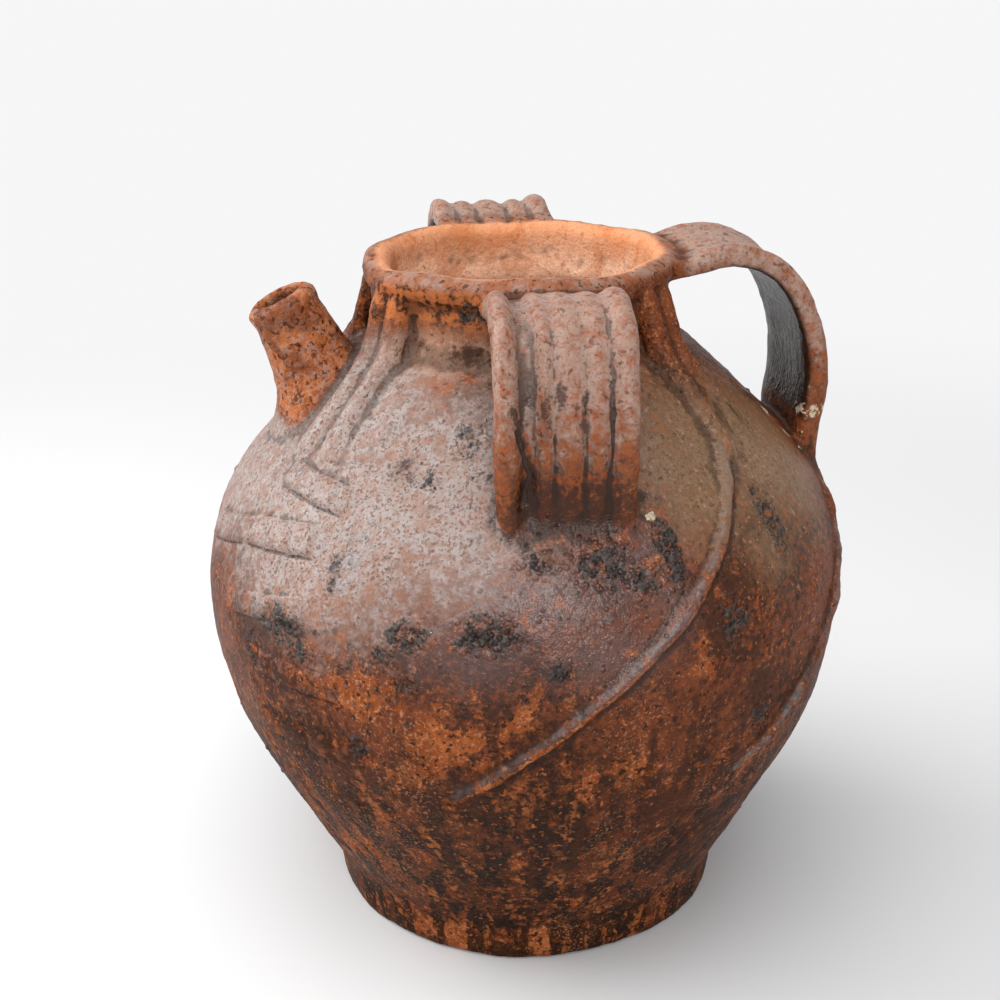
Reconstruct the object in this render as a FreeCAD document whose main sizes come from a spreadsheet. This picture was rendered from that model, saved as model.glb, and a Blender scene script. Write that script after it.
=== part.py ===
import FreeCAD, Part
import math
import os
import Sketcher
from FreeCAD import Placement, Rotation, Vector

# Oil jug in glazed earthenware, thrown and built by hand and fired as one piece.
# Millimetres and degrees, +Z up, the origin at the middle of the foot, the spout toward -X,
# the big pouring handle toward +X and the two carrying handles toward -Y and +Y.

doc = FreeCAD.newDocument("oil_jug")

SIZES = {
    # thrown body, read up the wall
    "wall": 9.5,
    "floor": 12,
    "foot_height": 20.65,
    "foot_edge": 3,
    "floor_round": 16,
    "foot_lean": 6.5,
    "waist_round": 14,
    "lower_lean": 27.7,
    "belly_radius": 166.5,
    "belly_height": 180,
    "lower_curve": 184,
    "upper_curve": 107,
    "shoulder_lean": 45,
    "neck_round": 14,
    "neck_radius": 75,
    "neck_height": 34.18,
    "lip_roll": 7,
    # ribbed strap of the three handles
    "strap_width": 65,
    "strap_thick": 11.5,
    "strap_edge": 2.6,
    "rib_rise": 2.2,
    "strap_rise": 12,
    "strap_sink": 11,
    # pouring handle, its curves and widest place as shares of the loop's height
    "rear_rise": 2.5,
    "rear_start_turn": 24.3,
    "rear_bulge": 2.43,
    "rear_foot": 0.476,
    "rear_widest": 0.452,
    "rear_back": 0.714,
    "rear_top": 0.3333,
    # carrying handles, given the same way
    "near_rise": 0.5,
    "far_rise": 8,
    "side_start_turn": 38.1,
    "side_bulge": 2.55,
    "side_foot": 0.577,
    "side_widest": 0.471,
    "side_back": 0.769,
    "side_top": 0.2885,
    # pouring spout
    "spout_gap": 46.5,
    "spout_drop": 17,
    "spout_lean": 24,
    "spout_radius": 18.2,
    "spout_roll": 5.5,
    "spout_undercut": 1.6,
    "spout_length": 40,
    "spout_spread": 4.7,
    "spout_flare": 36,
    "spout_sink": 24,
    "bore_radius": 11.5,
    "bore_past": 12,
    # struts from lip to shoulder
    "rear_strut_turn": 42,
    "front_strut_turn": 26,
    "strut_width": 24,
    "strut_thick": 10,
    "strut_ridge": 3,
    "strut_proud": 0.5,
    "strut_top_drop": 8,
    "strut_bend_rise": 12.18,
    "strut_curve": 30,
    "strut_sink": 7,
    "strut_run": 55,
    # cordons laid on the wall
    "cordon_radius": 3.5,
    "cordon_bed": 0.5,
    "cordon_fade": 4,
    "cordon_pitch": 2.3,
    "cordon_start": 25.8,
    "cordon_drop": 72,
    "rear_cordon_start": 12,
    "rear_cordon_drop": 69,
    "rear_cordon_turn": 8,
}
RIBS = 5
CORDON_STATIONS = 12
FADE_SHARE = 0.15

sheet = doc.addObject("Spreadsheet::Sheet", "sizes")
for row, (name, value) in enumerate(SIZES.items(), start=1):
    sheet.set("A%d" % row, name)
    sheet.set("B%d" % row, str(value))
    sheet.setAlias("B%d" % row, name)
doc.recompute()


def size(name):
    return float(sheet.get(name))


def worth(formula):
    """What a formula on the sheet's sizes comes to"""
    return float(sheet.evalExpression(formula))


# Heights that follow from the wall's own curves

SHOULDER_EDGE = ("(sizes.belly_radius - sizes.upper_curve"
                 " + sizes.upper_curve * cos(sizes.shoulder_lean))")
NECK_ROOT = ("(sizes.belly_height + sizes.upper_curve * sin(sizes.shoulder_lean)"
             " + (" + SHOULDER_EDGE + " - sizes.neck_radius) / tan(sizes.shoulder_lean))")
RIM = "(" + NECK_ROOT + " + sizes.neck_height)"

# Helpers for the sketches

# A sketch numbers the places on its lines and arcs upward and its own axes downward

START, END, CENTRE = [number for number, place in enumerate(("start", "end", "centre"), start=1)]
ACROSS, UPRIGHT = [-number for number, axis in enumerate(("across", "upright"), start=1)]


def heading(degrees):
    angle = math.radians(degrees)
    return Vector(math.cos(angle), math.sin(angle), 0)


def line(sketch, start, end):
    return sketch.addGeometry(Part.LineSegment(start, end), False)


def arc(sketch, centre, radius, low, high):
    circle = Part.Circle(centre, Vector(0, 0, 1), radius)
    return sketch.addGeometry(Part.ArcOfCircle(circle, math.radians(low), math.radians(high)), False)


def tie(sketch, kind, *where):
    return sketch.addConstraint(Sketcher.Constraint(kind, *where))


def spot(sketch, geometry, position):
    return Vector(0, 0, 0) if geometry == ACROSS else sketch.getPoint(geometry, position)


def measure(sketch, kind, where):
    """What a dimension reads on the geometry as drawn"""
    shape = sketch.Geometry[where[0]] if where[0] >= 0 else None
    if kind == "Radius":
        return shape.Radius
    if kind == "Angle":
        run = shape.EndPoint - shape.StartPoint
        return math.atan2(run.y, run.x)
    if kind == "Distance":
        return shape.length()
    gap = spot(sketch, *where[-2:])
    if len(where) == 4:
        gap = gap - spot(sketch, *where[:2])
    return gap.x if kind == "DistanceX" else gap.y


def drive(sketch, kind, where, formula):
    """Add a dimension at the size as drawn, then tie it to the sheet"""
    value = measure(sketch, kind, where)
    index = sketch.addConstraint(Sketcher.Constraint(kind, *where, value))
    sketch.setExpression("Constraints[%d]" % index, formula)


def along(point, direction, amount):
    return point + direction * amount


def meet(point, direction, other, other_direction):
    """Crossing of two straight lines"""
    spread = direction.x * other_direction.y - direction.y * other_direction.x
    gap = other - point
    reach = (gap.x * other_direction.y - gap.y * other_direction.x) / spread
    return along(point, direction, reach)


def rounded(corner, before, after, radius):
    """Ends and centre of the arc that rounds a corner between two headings in degrees"""
    turn = after - before
    setback = radius * math.tan(math.radians(abs(turn)) / 2)
    start = along(corner, heading(before), -setback)
    end = along(corner, heading(after), setback)
    side = 90 if turn > 0 else -90
    return start, end, along(start, heading(before + side), radius)


def origin_plane(body, role):
    return next(item for item in body.Origin.OriginFeatures if item.Role == role)


def sketch_on(body, name, role):
    sketch = body.newObject("Sketcher::SketchObject", name)
    sketch.AttachmentSupport = [(origin_plane(body, role), "")]
    sketch.MapMode = "FlatFace"
    return sketch


def turn_sketch(sketch, axis, formula):
    """Turn a sketch on its plane by an angle that the sheet gives"""
    sketch.AttachmentOffset = Placement(Vector(0, 0, 0), Rotation(axis, 90))
    sketch.setExpression("AttachmentOffset.Rotation.Angle", "(%s) * 1 deg" % formula)


# Turned body: one profile for the outside and, set in by the wall, one for the hollow

def turned_profile(sketch, hollow):
    """Half section from the floor up to the crest of the lip, closed along the axis"""
    wall = size("wall") if hollow else 0
    thinner = " - sizes.wall" if hollow else ""
    thicker = " + sizes.wall" if hollow else ""
    lower_heading = 90 - size("lower_lean")
    shoulder_heading = 90 + size("shoulder_lean")
    lower_radius = size("lower_curve") - wall
    upper_radius = size("upper_curve") - wall
    lower_centre = Vector(size("belly_radius") - size("lower_curve"), size("belly_height"), 0)
    upper_centre = Vector(size("belly_radius") - size("upper_curve"), size("belly_height"), 0)
    lower_end = along(lower_centre, heading(-size("lower_lean")), lower_radius)
    shoulder = along(upper_centre, heading(size("shoulder_lean")), upper_radius)
    neck_radius = size("neck_radius") - wall
    neck_corner = meet(shoulder, heading(shoulder_heading), Vector(neck_radius, 0, 0), heading(90))
    neck_start, neck_end, neck_centre = rounded(
        neck_corner, shoulder_heading, 90, size("neck_round") + wall)

    if hollow:
        cone, floor = hollow_bottom(sketch, lower_end, lower_heading)
    else:
        cone, floor = foot_bottom(sketch, lower_end, lower_heading)
    lower = arc(sketch, lower_centre, lower_radius, -size("lower_lean"), 0)
    upper = arc(sketch, upper_centre, upper_radius, 0, size("shoulder_lean"))
    slope = line(sketch, shoulder, neck_start)
    root = arc(sketch, neck_centre, size("neck_round") + wall, 180, 90 + shoulder_heading)
    tie(sketch, "Tangent", cone, END, lower, START)
    tie(sketch, "Tangent", lower, END, upper, START)
    tie(sketch, "Tangent", upper, END, slope, START)
    tie(sketch, "Tangent", slope, END, root, END)

    roll = size("lip_roll")
    crest = Vector(size("neck_radius") - size("wall") + roll, worth(RIM), 0)
    roll_centre = Vector(crest.x, crest.y - roll, 0)
    if hollow:
        neck = line(sketch, neck_end, Vector(neck_radius, roll_centre.y, 0))
        lip = arc(sketch, roll_centre, roll, 90, 180)
        top_height = crest.y + roll
        rise = line(sketch, crest, Vector(crest.x, top_height, 0))
        top = line(sketch, Vector(crest.x, top_height, 0), Vector(0, top_height, 0))
        tie(sketch, "Tangent", neck, END, lip, END)
        tie(sketch, "Vertical", lip, START, lip, CENTRE)
        tie(sketch, "Coincident", lip, START, rise, START)
        tie(sketch, "Vertical", rise)
        tie(sketch, "Coincident", rise, END, top, START)
        drive(sketch, "DistanceY", (rise, START, rise, END), "sizes.lip_roll")
    else:
        low = -math.degrees(math.acos((neck_radius - crest.x) / roll))
        neck = line(sketch, neck_end, along(roll_centre, heading(low), roll))
        lip = arc(sketch, roll_centre, roll, low, 90)
        top_height = crest.y
        top = line(sketch, crest, Vector(0, top_height, 0))
        tie(sketch, "Coincident", neck, END, lip, START)
        tie(sketch, "Vertical", lip, END, lip, CENTRE)
        tie(sketch, "Coincident", lip, END, top, START)
        drive(sketch, "DistanceX", (lip, CENTRE), "sizes.neck_radius - sizes.wall + sizes.lip_roll")
    axis = line(sketch, Vector(0, top_height, 0), spot(sketch, floor, START))
    tie(sketch, "Tangent", root, START, neck, START)
    tie(sketch, "Vertical", neck)
    tie(sketch, "Horizontal", top)
    tie(sketch, "PointOnObject", top, END, UPRIGHT)
    tie(sketch, "Coincident", top, END, axis, START)
    tie(sketch, "Coincident", axis, END, floor, START)

    drive(sketch, "Angle", (cone,), "(90 - sizes.lower_lean) * 1 deg")
    drive(sketch, "Angle", (slope,), "(90 + sizes.shoulder_lean) * 1 deg")
    drive(sketch, "Radius", (root,), "sizes.neck_round" + thicker)
    drive(sketch, "Radius", (lower,), "sizes.lower_curve" + thinner)
    drive(sketch, "Radius", (upper,), "sizes.upper_curve" + thinner)
    drive(sketch, "DistanceX", (lower, CENTRE), "sizes.belly_radius - sizes.lower_curve")
    drive(sketch, "DistanceY", (lower, CENTRE), "sizes.belly_height")
    drive(sketch, "DistanceY", (upper, CENTRE), "sizes.belly_height")
    drive(sketch, "DistanceX", (neck, START), "sizes.neck_radius" + thinner)
    drive(sketch, "Radius", (lip,), "sizes.lip_roll")
    drive(sketch, "DistanceY", (lip, CENTRE), RIM + " - sizes.lip_roll")


def foot_bottom(sketch, lower_end, lower_heading):
    """Flat base, softened edge, short upright foot and the waist above it"""
    foot_heading = 90 - size("foot_lean")
    waist_level = Vector(0, size("foot_height"), 0)
    waist_corner = meet(lower_end, heading(lower_heading), waist_level, heading(0))
    base = meet(waist_corner, heading(foot_heading), Vector(0, 0, 0), heading(0))
    edge_start, edge_end, edge_centre = rounded(base, 0, foot_heading, size("foot_edge"))
    waist_start, waist_end, waist_centre = rounded(
        waist_corner, foot_heading, lower_heading, size("waist_round"))
    floor = line(sketch, Vector(0, 0, 0), edge_start)
    edge = arc(sketch, edge_centre, size("foot_edge"), -90, foot_heading - 90)
    foot = line(sketch, edge_end, waist_start)
    waist = arc(sketch, waist_centre, size("waist_round"), lower_heading + 90, foot_heading + 90)
    cone = line(sketch, waist_end, lower_end)
    mark = sketch.addGeometry(Part.Point(waist_corner), True)
    tie(sketch, "Coincident", floor, START, ACROSS, START)
    tie(sketch, "Horizontal", floor)
    tie(sketch, "Tangent", floor, END, edge, START)
    tie(sketch, "Tangent", edge, END, foot, START)
    tie(sketch, "Tangent", foot, END, waist, END)
    tie(sketch, "Tangent", waist, START, cone, START)
    tie(sketch, "PointOnObject", mark, START, foot)
    tie(sketch, "PointOnObject", mark, START, cone)
    drive(sketch, "DistanceY", (mark, START), "sizes.foot_height")
    drive(sketch, "Radius", (edge,), "sizes.foot_edge")
    drive(sketch, "Radius", (waist,), "sizes.waist_round")
    drive(sketch, "Angle", (foot,), "(90 - sizes.foot_lean) * 1 deg")
    return cone, floor


def hollow_bottom(sketch, lower_end, lower_heading):
    """Floor of the hollow, rounded straight into the lower wall"""
    floor_corner = meet(lower_end, heading(lower_heading), Vector(0, size("floor"), 0), heading(0))
    edge_start, edge_end, edge_centre = rounded(floor_corner, 0, lower_heading, size("floor_round"))
    floor = line(sketch, Vector(0, size("floor"), 0), edge_start)
    edge = arc(sketch, edge_centre, size("floor_round"), -90, lower_heading - 90)
    cone = line(sketch, edge_end, lower_end)
    tie(sketch, "PointOnObject", floor, START, UPRIGHT)
    tie(sketch, "Horizontal", floor)
    tie(sketch, "Tangent", floor, END, edge, START)
    tie(sketch, "Tangent", edge, END, cone, START)
    drive(sketch, "DistanceY", (floor, START), "sizes.floor")
    drive(sketch, "Radius", (edge,), "sizes.floor_round")
    return cone, floor


def outside_radius(height):
    """Radius of the thrown wall's outer face at a height from the waist to the neck"""
    above = height - size("belly_height")
    curve = size("upper_curve") if above > 0 else size("lower_curve")
    lean = size("shoulder_lean") if above > 0 else size("lower_lean")
    centre = size("belly_radius") - curve
    reach = curve * math.sin(math.radians(lean))
    if abs(above) <= reach:
        return centre + math.sqrt(curve ** 2 - above ** 2)
    edge = centre + curve * math.cos(math.radians(lean))
    return edge - (abs(above) - reach) * math.tan(math.radians(lean))


def revolve_sketch(body, kind, name, sketch):
    feature = body.newObject("PartDesign::" + kind, name)
    feature.Profile = sketch
    feature.ReferenceAxis = (sketch, ["V_Axis"])
    feature.Angle = 360
    doc.recompute()
    return feature


jug_body = doc.addObject("PartDesign::Body", "thrown_body")
wall_sketch = sketch_on(jug_body, "wall_profile", "XZ_Plane")
turned_profile(wall_sketch, hollow=False)
revolve_sketch(jug_body, "Revolution", "thrown_wall", wall_sketch)

# Ribbed strap handles, each swept from its foot on the shoulder up and over into the lip

STRAP_START = "(sizes.belly_height + sizes.upper_curve * sin(sizes.{0}_start_turn))"
STRAP_RADIUS = ("(sizes.belly_radius - sizes.upper_curve"
                " + sizes.upper_curve * cos(sizes.{0}_start_turn) - sizes.strap_sink)")
STRAP_SHARE = "(sizes.{0}_{1} * (" + RIM + " - " + STRAP_START + "))"


def strap_section(body, name, turn_axis, turn, side):
    """Flat inside, rounded edges and a row of finger-drawn ribs outside"""
    sketch = sketch_on(body, name, "XY_Plane")
    turn_sketch(sketch, turn_axis, turn)
    sketch.setExpression("AttachmentOffset.Base.z", STRAP_START.format(side))
    foot_radius = STRAP_RADIUS.format(side)
    middle = worth(foot_radius)
    inner = middle - size("strap_thick") / 2
    valley = middle + size("strap_thick") / 2 - size("rib_rise")
    half = size("strap_width") / 2 - size("strap_edge")
    pitch = 2 * half / RIBS
    rib_radius = ((pitch / 2) ** 2 + size("rib_rise") ** 2) / (2 * size("rib_rise"))
    chord = valley - inner
    edge_radius = ((chord / 2) ** 2 + size("strap_edge") ** 2) / (2 * size("strap_edge"))
    rib_spread = math.degrees(math.asin(pitch / 2 / rib_radius))
    edge_spread = math.degrees(math.asin(chord / 2 / edge_radius))

    back = line(sketch, Vector(inner, half, 0), Vector(inner, -half, 0))
    right_centre = Vector((inner + valley) / 2, -half - size("strap_edge") + edge_radius, 0)
    right = arc(sketch, right_centre, edge_radius, 270 - edge_spread, 270 + edge_spread)
    ribs = []
    for number in range(RIBS):
        centre = Vector(valley + size("rib_rise") - rib_radius, -half + (number + 0.5) * pitch, 0)
        ribs.append(arc(sketch, centre, rib_radius, -rib_spread, rib_spread))
    left_centre = Vector(right_centre.x, -right_centre.y, 0)
    left = arc(sketch, left_centre, edge_radius, 90 - edge_spread, 90 + edge_spread)

    tie(sketch, "Coincident", back, END, right, START)
    tie(sketch, "Coincident", right, END, ribs[0], START)
    for lower, upper in zip(ribs, ribs[1:]):
        tie(sketch, "Coincident", lower, END, upper, START)
        tie(sketch, "Equal", lower, upper)
    for rib in ribs:
        tie(sketch, "Vertical", rib, START, rib, END)
        drive(sketch, "DistanceY", (rib, START, rib, END),
              "(sizes.strap_width - 2 * sizes.strap_edge) / %d" % RIBS)
    tie(sketch, "Coincident", ribs[-1], END, left, START)
    tie(sketch, "Coincident", left, END, back, START)
    tie(sketch, "Equal", right, left)
    tie(sketch, "Symmetric", back, START, back, END, ACROSS)
    tie(sketch, "Horizontal", back, END, right, END)
    drive(sketch, "DistanceX", (back, START), foot_radius + " - sizes.strap_thick / 2")
    drive(sketch, "DistanceX", (back, START, ribs[0], START), "sizes.strap_thick - sizes.rib_rise")
    drive(sketch, "DistanceY", (back, END, back, START), "sizes.strap_width - 2 * sizes.strap_edge")
    drive(sketch, "Radius", (ribs[0],),
          "(((sizes.strap_width - 2 * sizes.strap_edge) / %d / 2) ^ 2 + sizes.rib_rise ^ 2)"
          " / (2 * sizes.rib_rise)" % RIBS)
    drive(sketch, "Radius", (right,),
          "(((sizes.strap_thick - sizes.rib_rise) / 2) ^ 2 + sizes.strap_edge ^ 2)"
          " / (2 * sizes.strap_edge)")
    return sketch


def strap_path(body, name, turn_axis, turn, part):
    """Upright at the foot, out to the widest point, over the top and down a little into the lip"""
    sketch = sketch_on(body, name, "XZ_Plane")
    turn_sketch(sketch, turn_axis, turn)
    side = part["curves"]
    start_height = STRAP_START.format(side)
    start_radius = STRAP_RADIUS.format(side)
    foot_share, back_share, top_share, widest_share = [
        STRAP_SHARE.format(side, name) for name in ("foot", "back", "top", "widest")]
    back_x = "%s + sizes.%s_bulge - %s" % (start_radius, side, back_share)
    back_y = "%s + %s" % (start_height, widest_share)
    top_y = "%s + sizes.%s - sizes.strap_thick / 2 - %s" % (RIM, part["rise"], top_share)
    foot_radius = worth(start_radius)
    foot_curve, back_curve, top_curve = worth(foot_share), worth(back_share), worth(top_share)
    back_centre = Vector(worth(back_x), worth(back_y), 0)
    top_height = worth(top_y)
    top_gap = math.sqrt((back_curve - top_curve) ** 2 - (top_height - back_centre.y) ** 2)
    top_centre = Vector(back_centre.x + top_gap, top_height, 0)
    foot_x = foot_radius + foot_curve
    foot_gap = math.sqrt((back_curve + foot_curve) ** 2 - (foot_x - back_centre.x) ** 2)
    foot_centre = Vector(foot_x, back_centre.y - foot_gap, 0)
    over = math.degrees(math.atan2(top_centre.y - back_centre.y, top_gap))
    under = math.degrees(math.atan2(foot_gap, foot_x - back_centre.x))
    rise = 90 + size("strap_rise")
    lip_touch = along(top_centre, heading(rise), top_curve)
    lip_x = size("neck_radius") - size("wall") / 2
    lip_run = (lip_touch.x - lip_x) / math.cos(math.radians(size("strap_rise")))
    lip_end = along(lip_touch, heading(rise + 90), lip_run)

    upright = line(sketch, Vector(foot_radius, worth(start_height), 0),
                   Vector(foot_radius, foot_centre.y, 0))
    foot = arc(sketch, foot_centre, foot_curve, 180 - under, 180)
    back = arc(sketch, back_centre, back_curve, -under, over)
    top = arc(sketch, top_centre, top_curve, over, rise)
    last = line(sketch, lip_touch, lip_end)
    tie(sketch, "Vertical", upright)
    tie(sketch, "Tangent", upright, END, foot, END)
    tie(sketch, "Tangent", foot, START, back, START)
    tie(sketch, "Tangent", back, END, top, START)
    tie(sketch, "Tangent", top, END, last, START)
    drive(sketch, "DistanceX", (upright, START), start_radius)
    drive(sketch, "DistanceY", (upright, START), start_height)
    drive(sketch, "Radius", (foot,), foot_share)
    drive(sketch, "Radius", (back,), back_share)
    drive(sketch, "Radius", (top,), top_share)
    drive(sketch, "DistanceX", (back, CENTRE), back_x)
    drive(sketch, "DistanceY", (back, CENTRE), back_y)
    drive(sketch, "DistanceY", (top, CENTRE), top_y)
    drive(sketch, "DistanceX", (last, END), "sizes.neck_radius - sizes.wall / 2")
    drive(sketch, "Angle", (last,), "(180 + sizes.strap_rise) * 1 deg")
    return sketch


def sweep(body, name, section, path):
    feature = body.newObject("PartDesign::AdditivePipe", name)
    feature.Profile = section
    feature.Spine = (path, [])
    feature.Mode = "Standard"
    feature.Transition = "Transformed"
    doc.recompute()
    return feature


UP = Vector(0, 0, 1)
ROUND_Z = Vector(0, 1, 0)
HANDLES = {
    "rear": {"turn": "0", "sense": 1, "rise": "rear_rise", "curves": "rear"},
    "near": {"turn": "90", "sense": -1, "rise": "near_rise", "curves": "side"},
    "far": {"turn": "90", "sense": 1, "rise": "far_rise", "curves": "side"},
}
for handle, part in HANDLES.items():
    section = strap_section(
        jug_body, handle + "_strap", UP * part["sense"], part["turn"], part["curves"])
    path = strap_path(jug_body, handle + "_bend", ROUND_Z * part["sense"], part["turn"], part)
    sweep(jug_body, handle + "_handle", section, path)

# Spout, turned on its own slanted axis with a rolled mouth and a flared root

SPOUT_NECK = "(sizes.spout_radius - sizes.spout_undercut)"
SPOUT_ROOT = "(" + SPOUT_NECK + " + sizes.spout_spread)"
SPOUT_DEPTH = "(sizes.spout_length + sizes.spout_sink)"
spout_sketch = sketch_on(jug_body, "spout_profile", "XZ_Plane")


def lean_with_spout(sketch):
    out = "-(sizes.neck_radius + sizes.spout_gap)"
    up = RIM + " - sizes.spout_drop"
    base = Vector(worth(out), worth(up), 0)
    sketch.AttachmentOffset = Placement(base, Rotation(Vector(0, 0, 1), size("spout_lean")))
    sketch.setExpression("AttachmentOffset.Base.x", out)
    sketch.setExpression("AttachmentOffset.Base.y", up)
    sketch.setExpression("AttachmentOffset.Rotation.Angle", "sizes.spout_lean * 1 deg")


def spout_profile(sketch):
    lean_with_spout(sketch)
    roll = size("spout_roll")
    crest = Vector(size("spout_radius") - roll, 0, 0)
    roll_centre = Vector(crest.x, -roll, 0)
    low = -math.degrees(math.acos((worth(SPOUT_NECK) - crest.x) / roll))
    neck_start = along(roll_centre, heading(low), roll)
    neck_end = Vector(worth(SPOUT_ROOT), -size("spout_length"), 0)
    run = neck_end - neck_start
    slope = math.degrees(math.atan2(run.y, run.x))
    flare = size("spout_flare")
    flare_centre = along(neck_end, heading(slope + 90), flare)
    low_y = -worth(SPOUT_DEPTH)
    fall = math.asin((flare_centre.y - low_y) / flare)
    flare_low = Vector(flare_centre.x - flare * math.cos(fall), low_y, 0)

    face = line(sketch, Vector(0, 0, 0), crest)
    lip = arc(sketch, roll_centre, roll, low, 90)
    neck = line(sketch, neck_start, neck_end)
    root = arc(sketch, flare_centre, flare, slope + 3 * 90, 2 * 90 + math.degrees(fall))
    floor = line(sketch, flare_low, Vector(0, low_y, 0))
    axis = line(sketch, Vector(0, low_y, 0), Vector(0, 0, 0))
    tie(sketch, "Coincident", face, START, ACROSS, START)
    tie(sketch, "Horizontal", face)
    tie(sketch, "Coincident", face, END, lip, END)
    tie(sketch, "Vertical", lip, END, lip, CENTRE)
    tie(sketch, "Coincident", lip, START, neck, START)
    tie(sketch, "Tangent", neck, END, root, START)
    tie(sketch, "Coincident", root, END, floor, START)
    tie(sketch, "Horizontal", floor)
    tie(sketch, "PointOnObject", floor, END, UPRIGHT)
    tie(sketch, "Coincident", floor, END, axis, START)
    tie(sketch, "Coincident", axis, END, face, START)
    drive(sketch, "DistanceX", (lip, CENTRE), "sizes.spout_radius - sizes.spout_roll")
    drive(sketch, "Radius", (lip,), "sizes.spout_roll")
    drive(sketch, "DistanceX", (neck, START), SPOUT_NECK)
    drive(sketch, "DistanceX", (neck, END), SPOUT_ROOT)
    drive(sketch, "DistanceY", (neck, END, ACROSS, START), "sizes.spout_length")
    drive(sketch, "Radius", (root,), "sizes.spout_flare")
    drive(sketch, "DistanceY", (floor, END, ACROSS, START), SPOUT_DEPTH)


spout_profile(spout_sketch)
revolve_sketch(jug_body, "Revolution", "spout", spout_sketch)

# Struts: short double-ridged straps from under the lip, down the neck and out over the shoulder

STRUT_TOP = RIM + " - sizes.strut_top_drop"
STRUT_BEND = NECK_ROOT + " + sizes.strut_bend_rise"

def strut_section(body, name, turn_axis, turn):
    sketch = sketch_on(body, name, "XY_Plane")
    turn_sketch(sketch, turn_axis, turn)
    sketch.setExpression("AttachmentOffset.Base.z", STRUT_TOP)
    middle = size("neck_radius") + size("strut_proud")
    inner = middle - size("strut_thick") / 2
    valley = middle + size("strut_thick") / 2 - size("strut_ridge")
    half = size("strut_width") / 2
    radius = ((half / 2) ** 2 + size("strut_ridge") ** 2) / (2 * size("strut_ridge"))
    spread = math.degrees(math.asin(half / 2 / radius))
    ridge_centre = valley + size("strut_ridge") - radius
    back = line(sketch, Vector(inner, half, 0), Vector(inner, -half, 0))
    right = line(sketch, Vector(inner, -half, 0), Vector(valley, -half, 0))
    low = arc(sketch, Vector(ridge_centre, -half / 2, 0), radius, -spread, spread)
    high = arc(sketch, Vector(ridge_centre, half / 2, 0), radius, -spread, spread)
    left = line(sketch, Vector(valley, half, 0), Vector(inner, half, 0))
    loop = [back, right, low, high, left]
    for before, after in zip(loop, loop[1:] + loop[:1]):
        tie(sketch, "Coincident", before, END, after, START)
    tie(sketch, "Horizontal", right)
    tie(sketch, "Horizontal", left)
    tie(sketch, "Equal", low, high)
    tie(sketch, "Vertical", low, START, low, END)
    tie(sketch, "Vertical", high, START, high, END)
    tie(sketch, "Symmetric", back, START, back, END, ACROSS)
    tie(sketch, "PointOnObject", low, END, ACROSS)
    drive(sketch, "DistanceX", (back, START),
          "sizes.neck_radius + sizes.strut_proud - sizes.strut_thick / 2")
    drive(sketch, "DistanceX", (right, START, right, END), "sizes.strut_thick - sizes.strut_ridge")
    drive(sketch, "DistanceY", (back, END, back, START), "sizes.strut_width")
    drive(sketch, "Radius", (low,),
          "((sizes.strut_width / 4) ^ 2 + sizes.strut_ridge ^ 2) / (2 * sizes.strut_ridge)")
    return sketch


def strut_path(body, name, turn_axis, turn):
    sketch = sketch_on(body, name, "XZ_Plane")
    turn_sketch(sketch, turn_axis, turn)
    middle = size("neck_radius") + size("strut_proud")
    top = worth(STRUT_TOP)
    bend = worth(STRUT_BEND)
    curve = size("strut_curve")
    turn_end = 180 + size("shoulder_lean") - size("strut_sink")
    centre = Vector(middle + curve, bend, 0)
    run_start = along(centre, heading(turn_end), curve)
    run_end = along(run_start, heading(turn_end + 90), size("strut_run"))
    drop = line(sketch, Vector(middle, top, 0), Vector(middle, bend, 0))
    knee = arc(sketch, centre, curve, 180, turn_end)
    run = line(sketch, run_start, run_end)
    tie(sketch, "Vertical", drop)
    tie(sketch, "Tangent", drop, END, knee, START)
    tie(sketch, "Tangent", knee, END, run, START)
    drive(sketch, "DistanceX", (drop, START), "sizes.neck_radius + sizes.strut_proud")
    drive(sketch, "DistanceY", (drop, START), STRUT_TOP)
    drive(sketch, "DistanceY", (drop, END), STRUT_BEND)
    drive(sketch, "Radius", (knee,), "sizes.strut_curve")
    drive(sketch, "Angle", (run,), "(sizes.shoulder_lean - sizes.strut_sink - 90) * 1 deg")
    drive(sketch, "Distance", (run,), "sizes.strut_run")
    return sketch


STRUTS = {
    "rear_near": {"turn": "sizes.rear_strut_turn", "sense": -1},
    "rear_far": {"turn": "sizes.rear_strut_turn", "sense": 1},
    "front_near": {"turn": "180 - sizes.front_strut_turn", "sense": -1},
    "front_far": {"turn": "180 - sizes.front_strut_turn", "sense": 1},
}
for strut, part in STRUTS.items():
    section = strut_section(jug_body, strut + "_ridges", UP * part["sense"], part["turn"])
    path = strut_path(jug_body, strut + "_fall", ROUND_Z * part["sense"], part["turn"])
    sweep(jug_body, strut + "_strut", section, path)

# The hollow is cut last, so that nothing joined on outside reaches into it

hollow_sketch = sketch_on(jug_body, "hollow_profile", "XZ_Plane")
turned_profile(hollow_sketch, hollow=True)
revolve_sketch(jug_body, "Groove", "hollow", hollow_sketch)

bore_sketch = sketch_on(jug_body, "bore_profile", "XZ_Plane")


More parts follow.
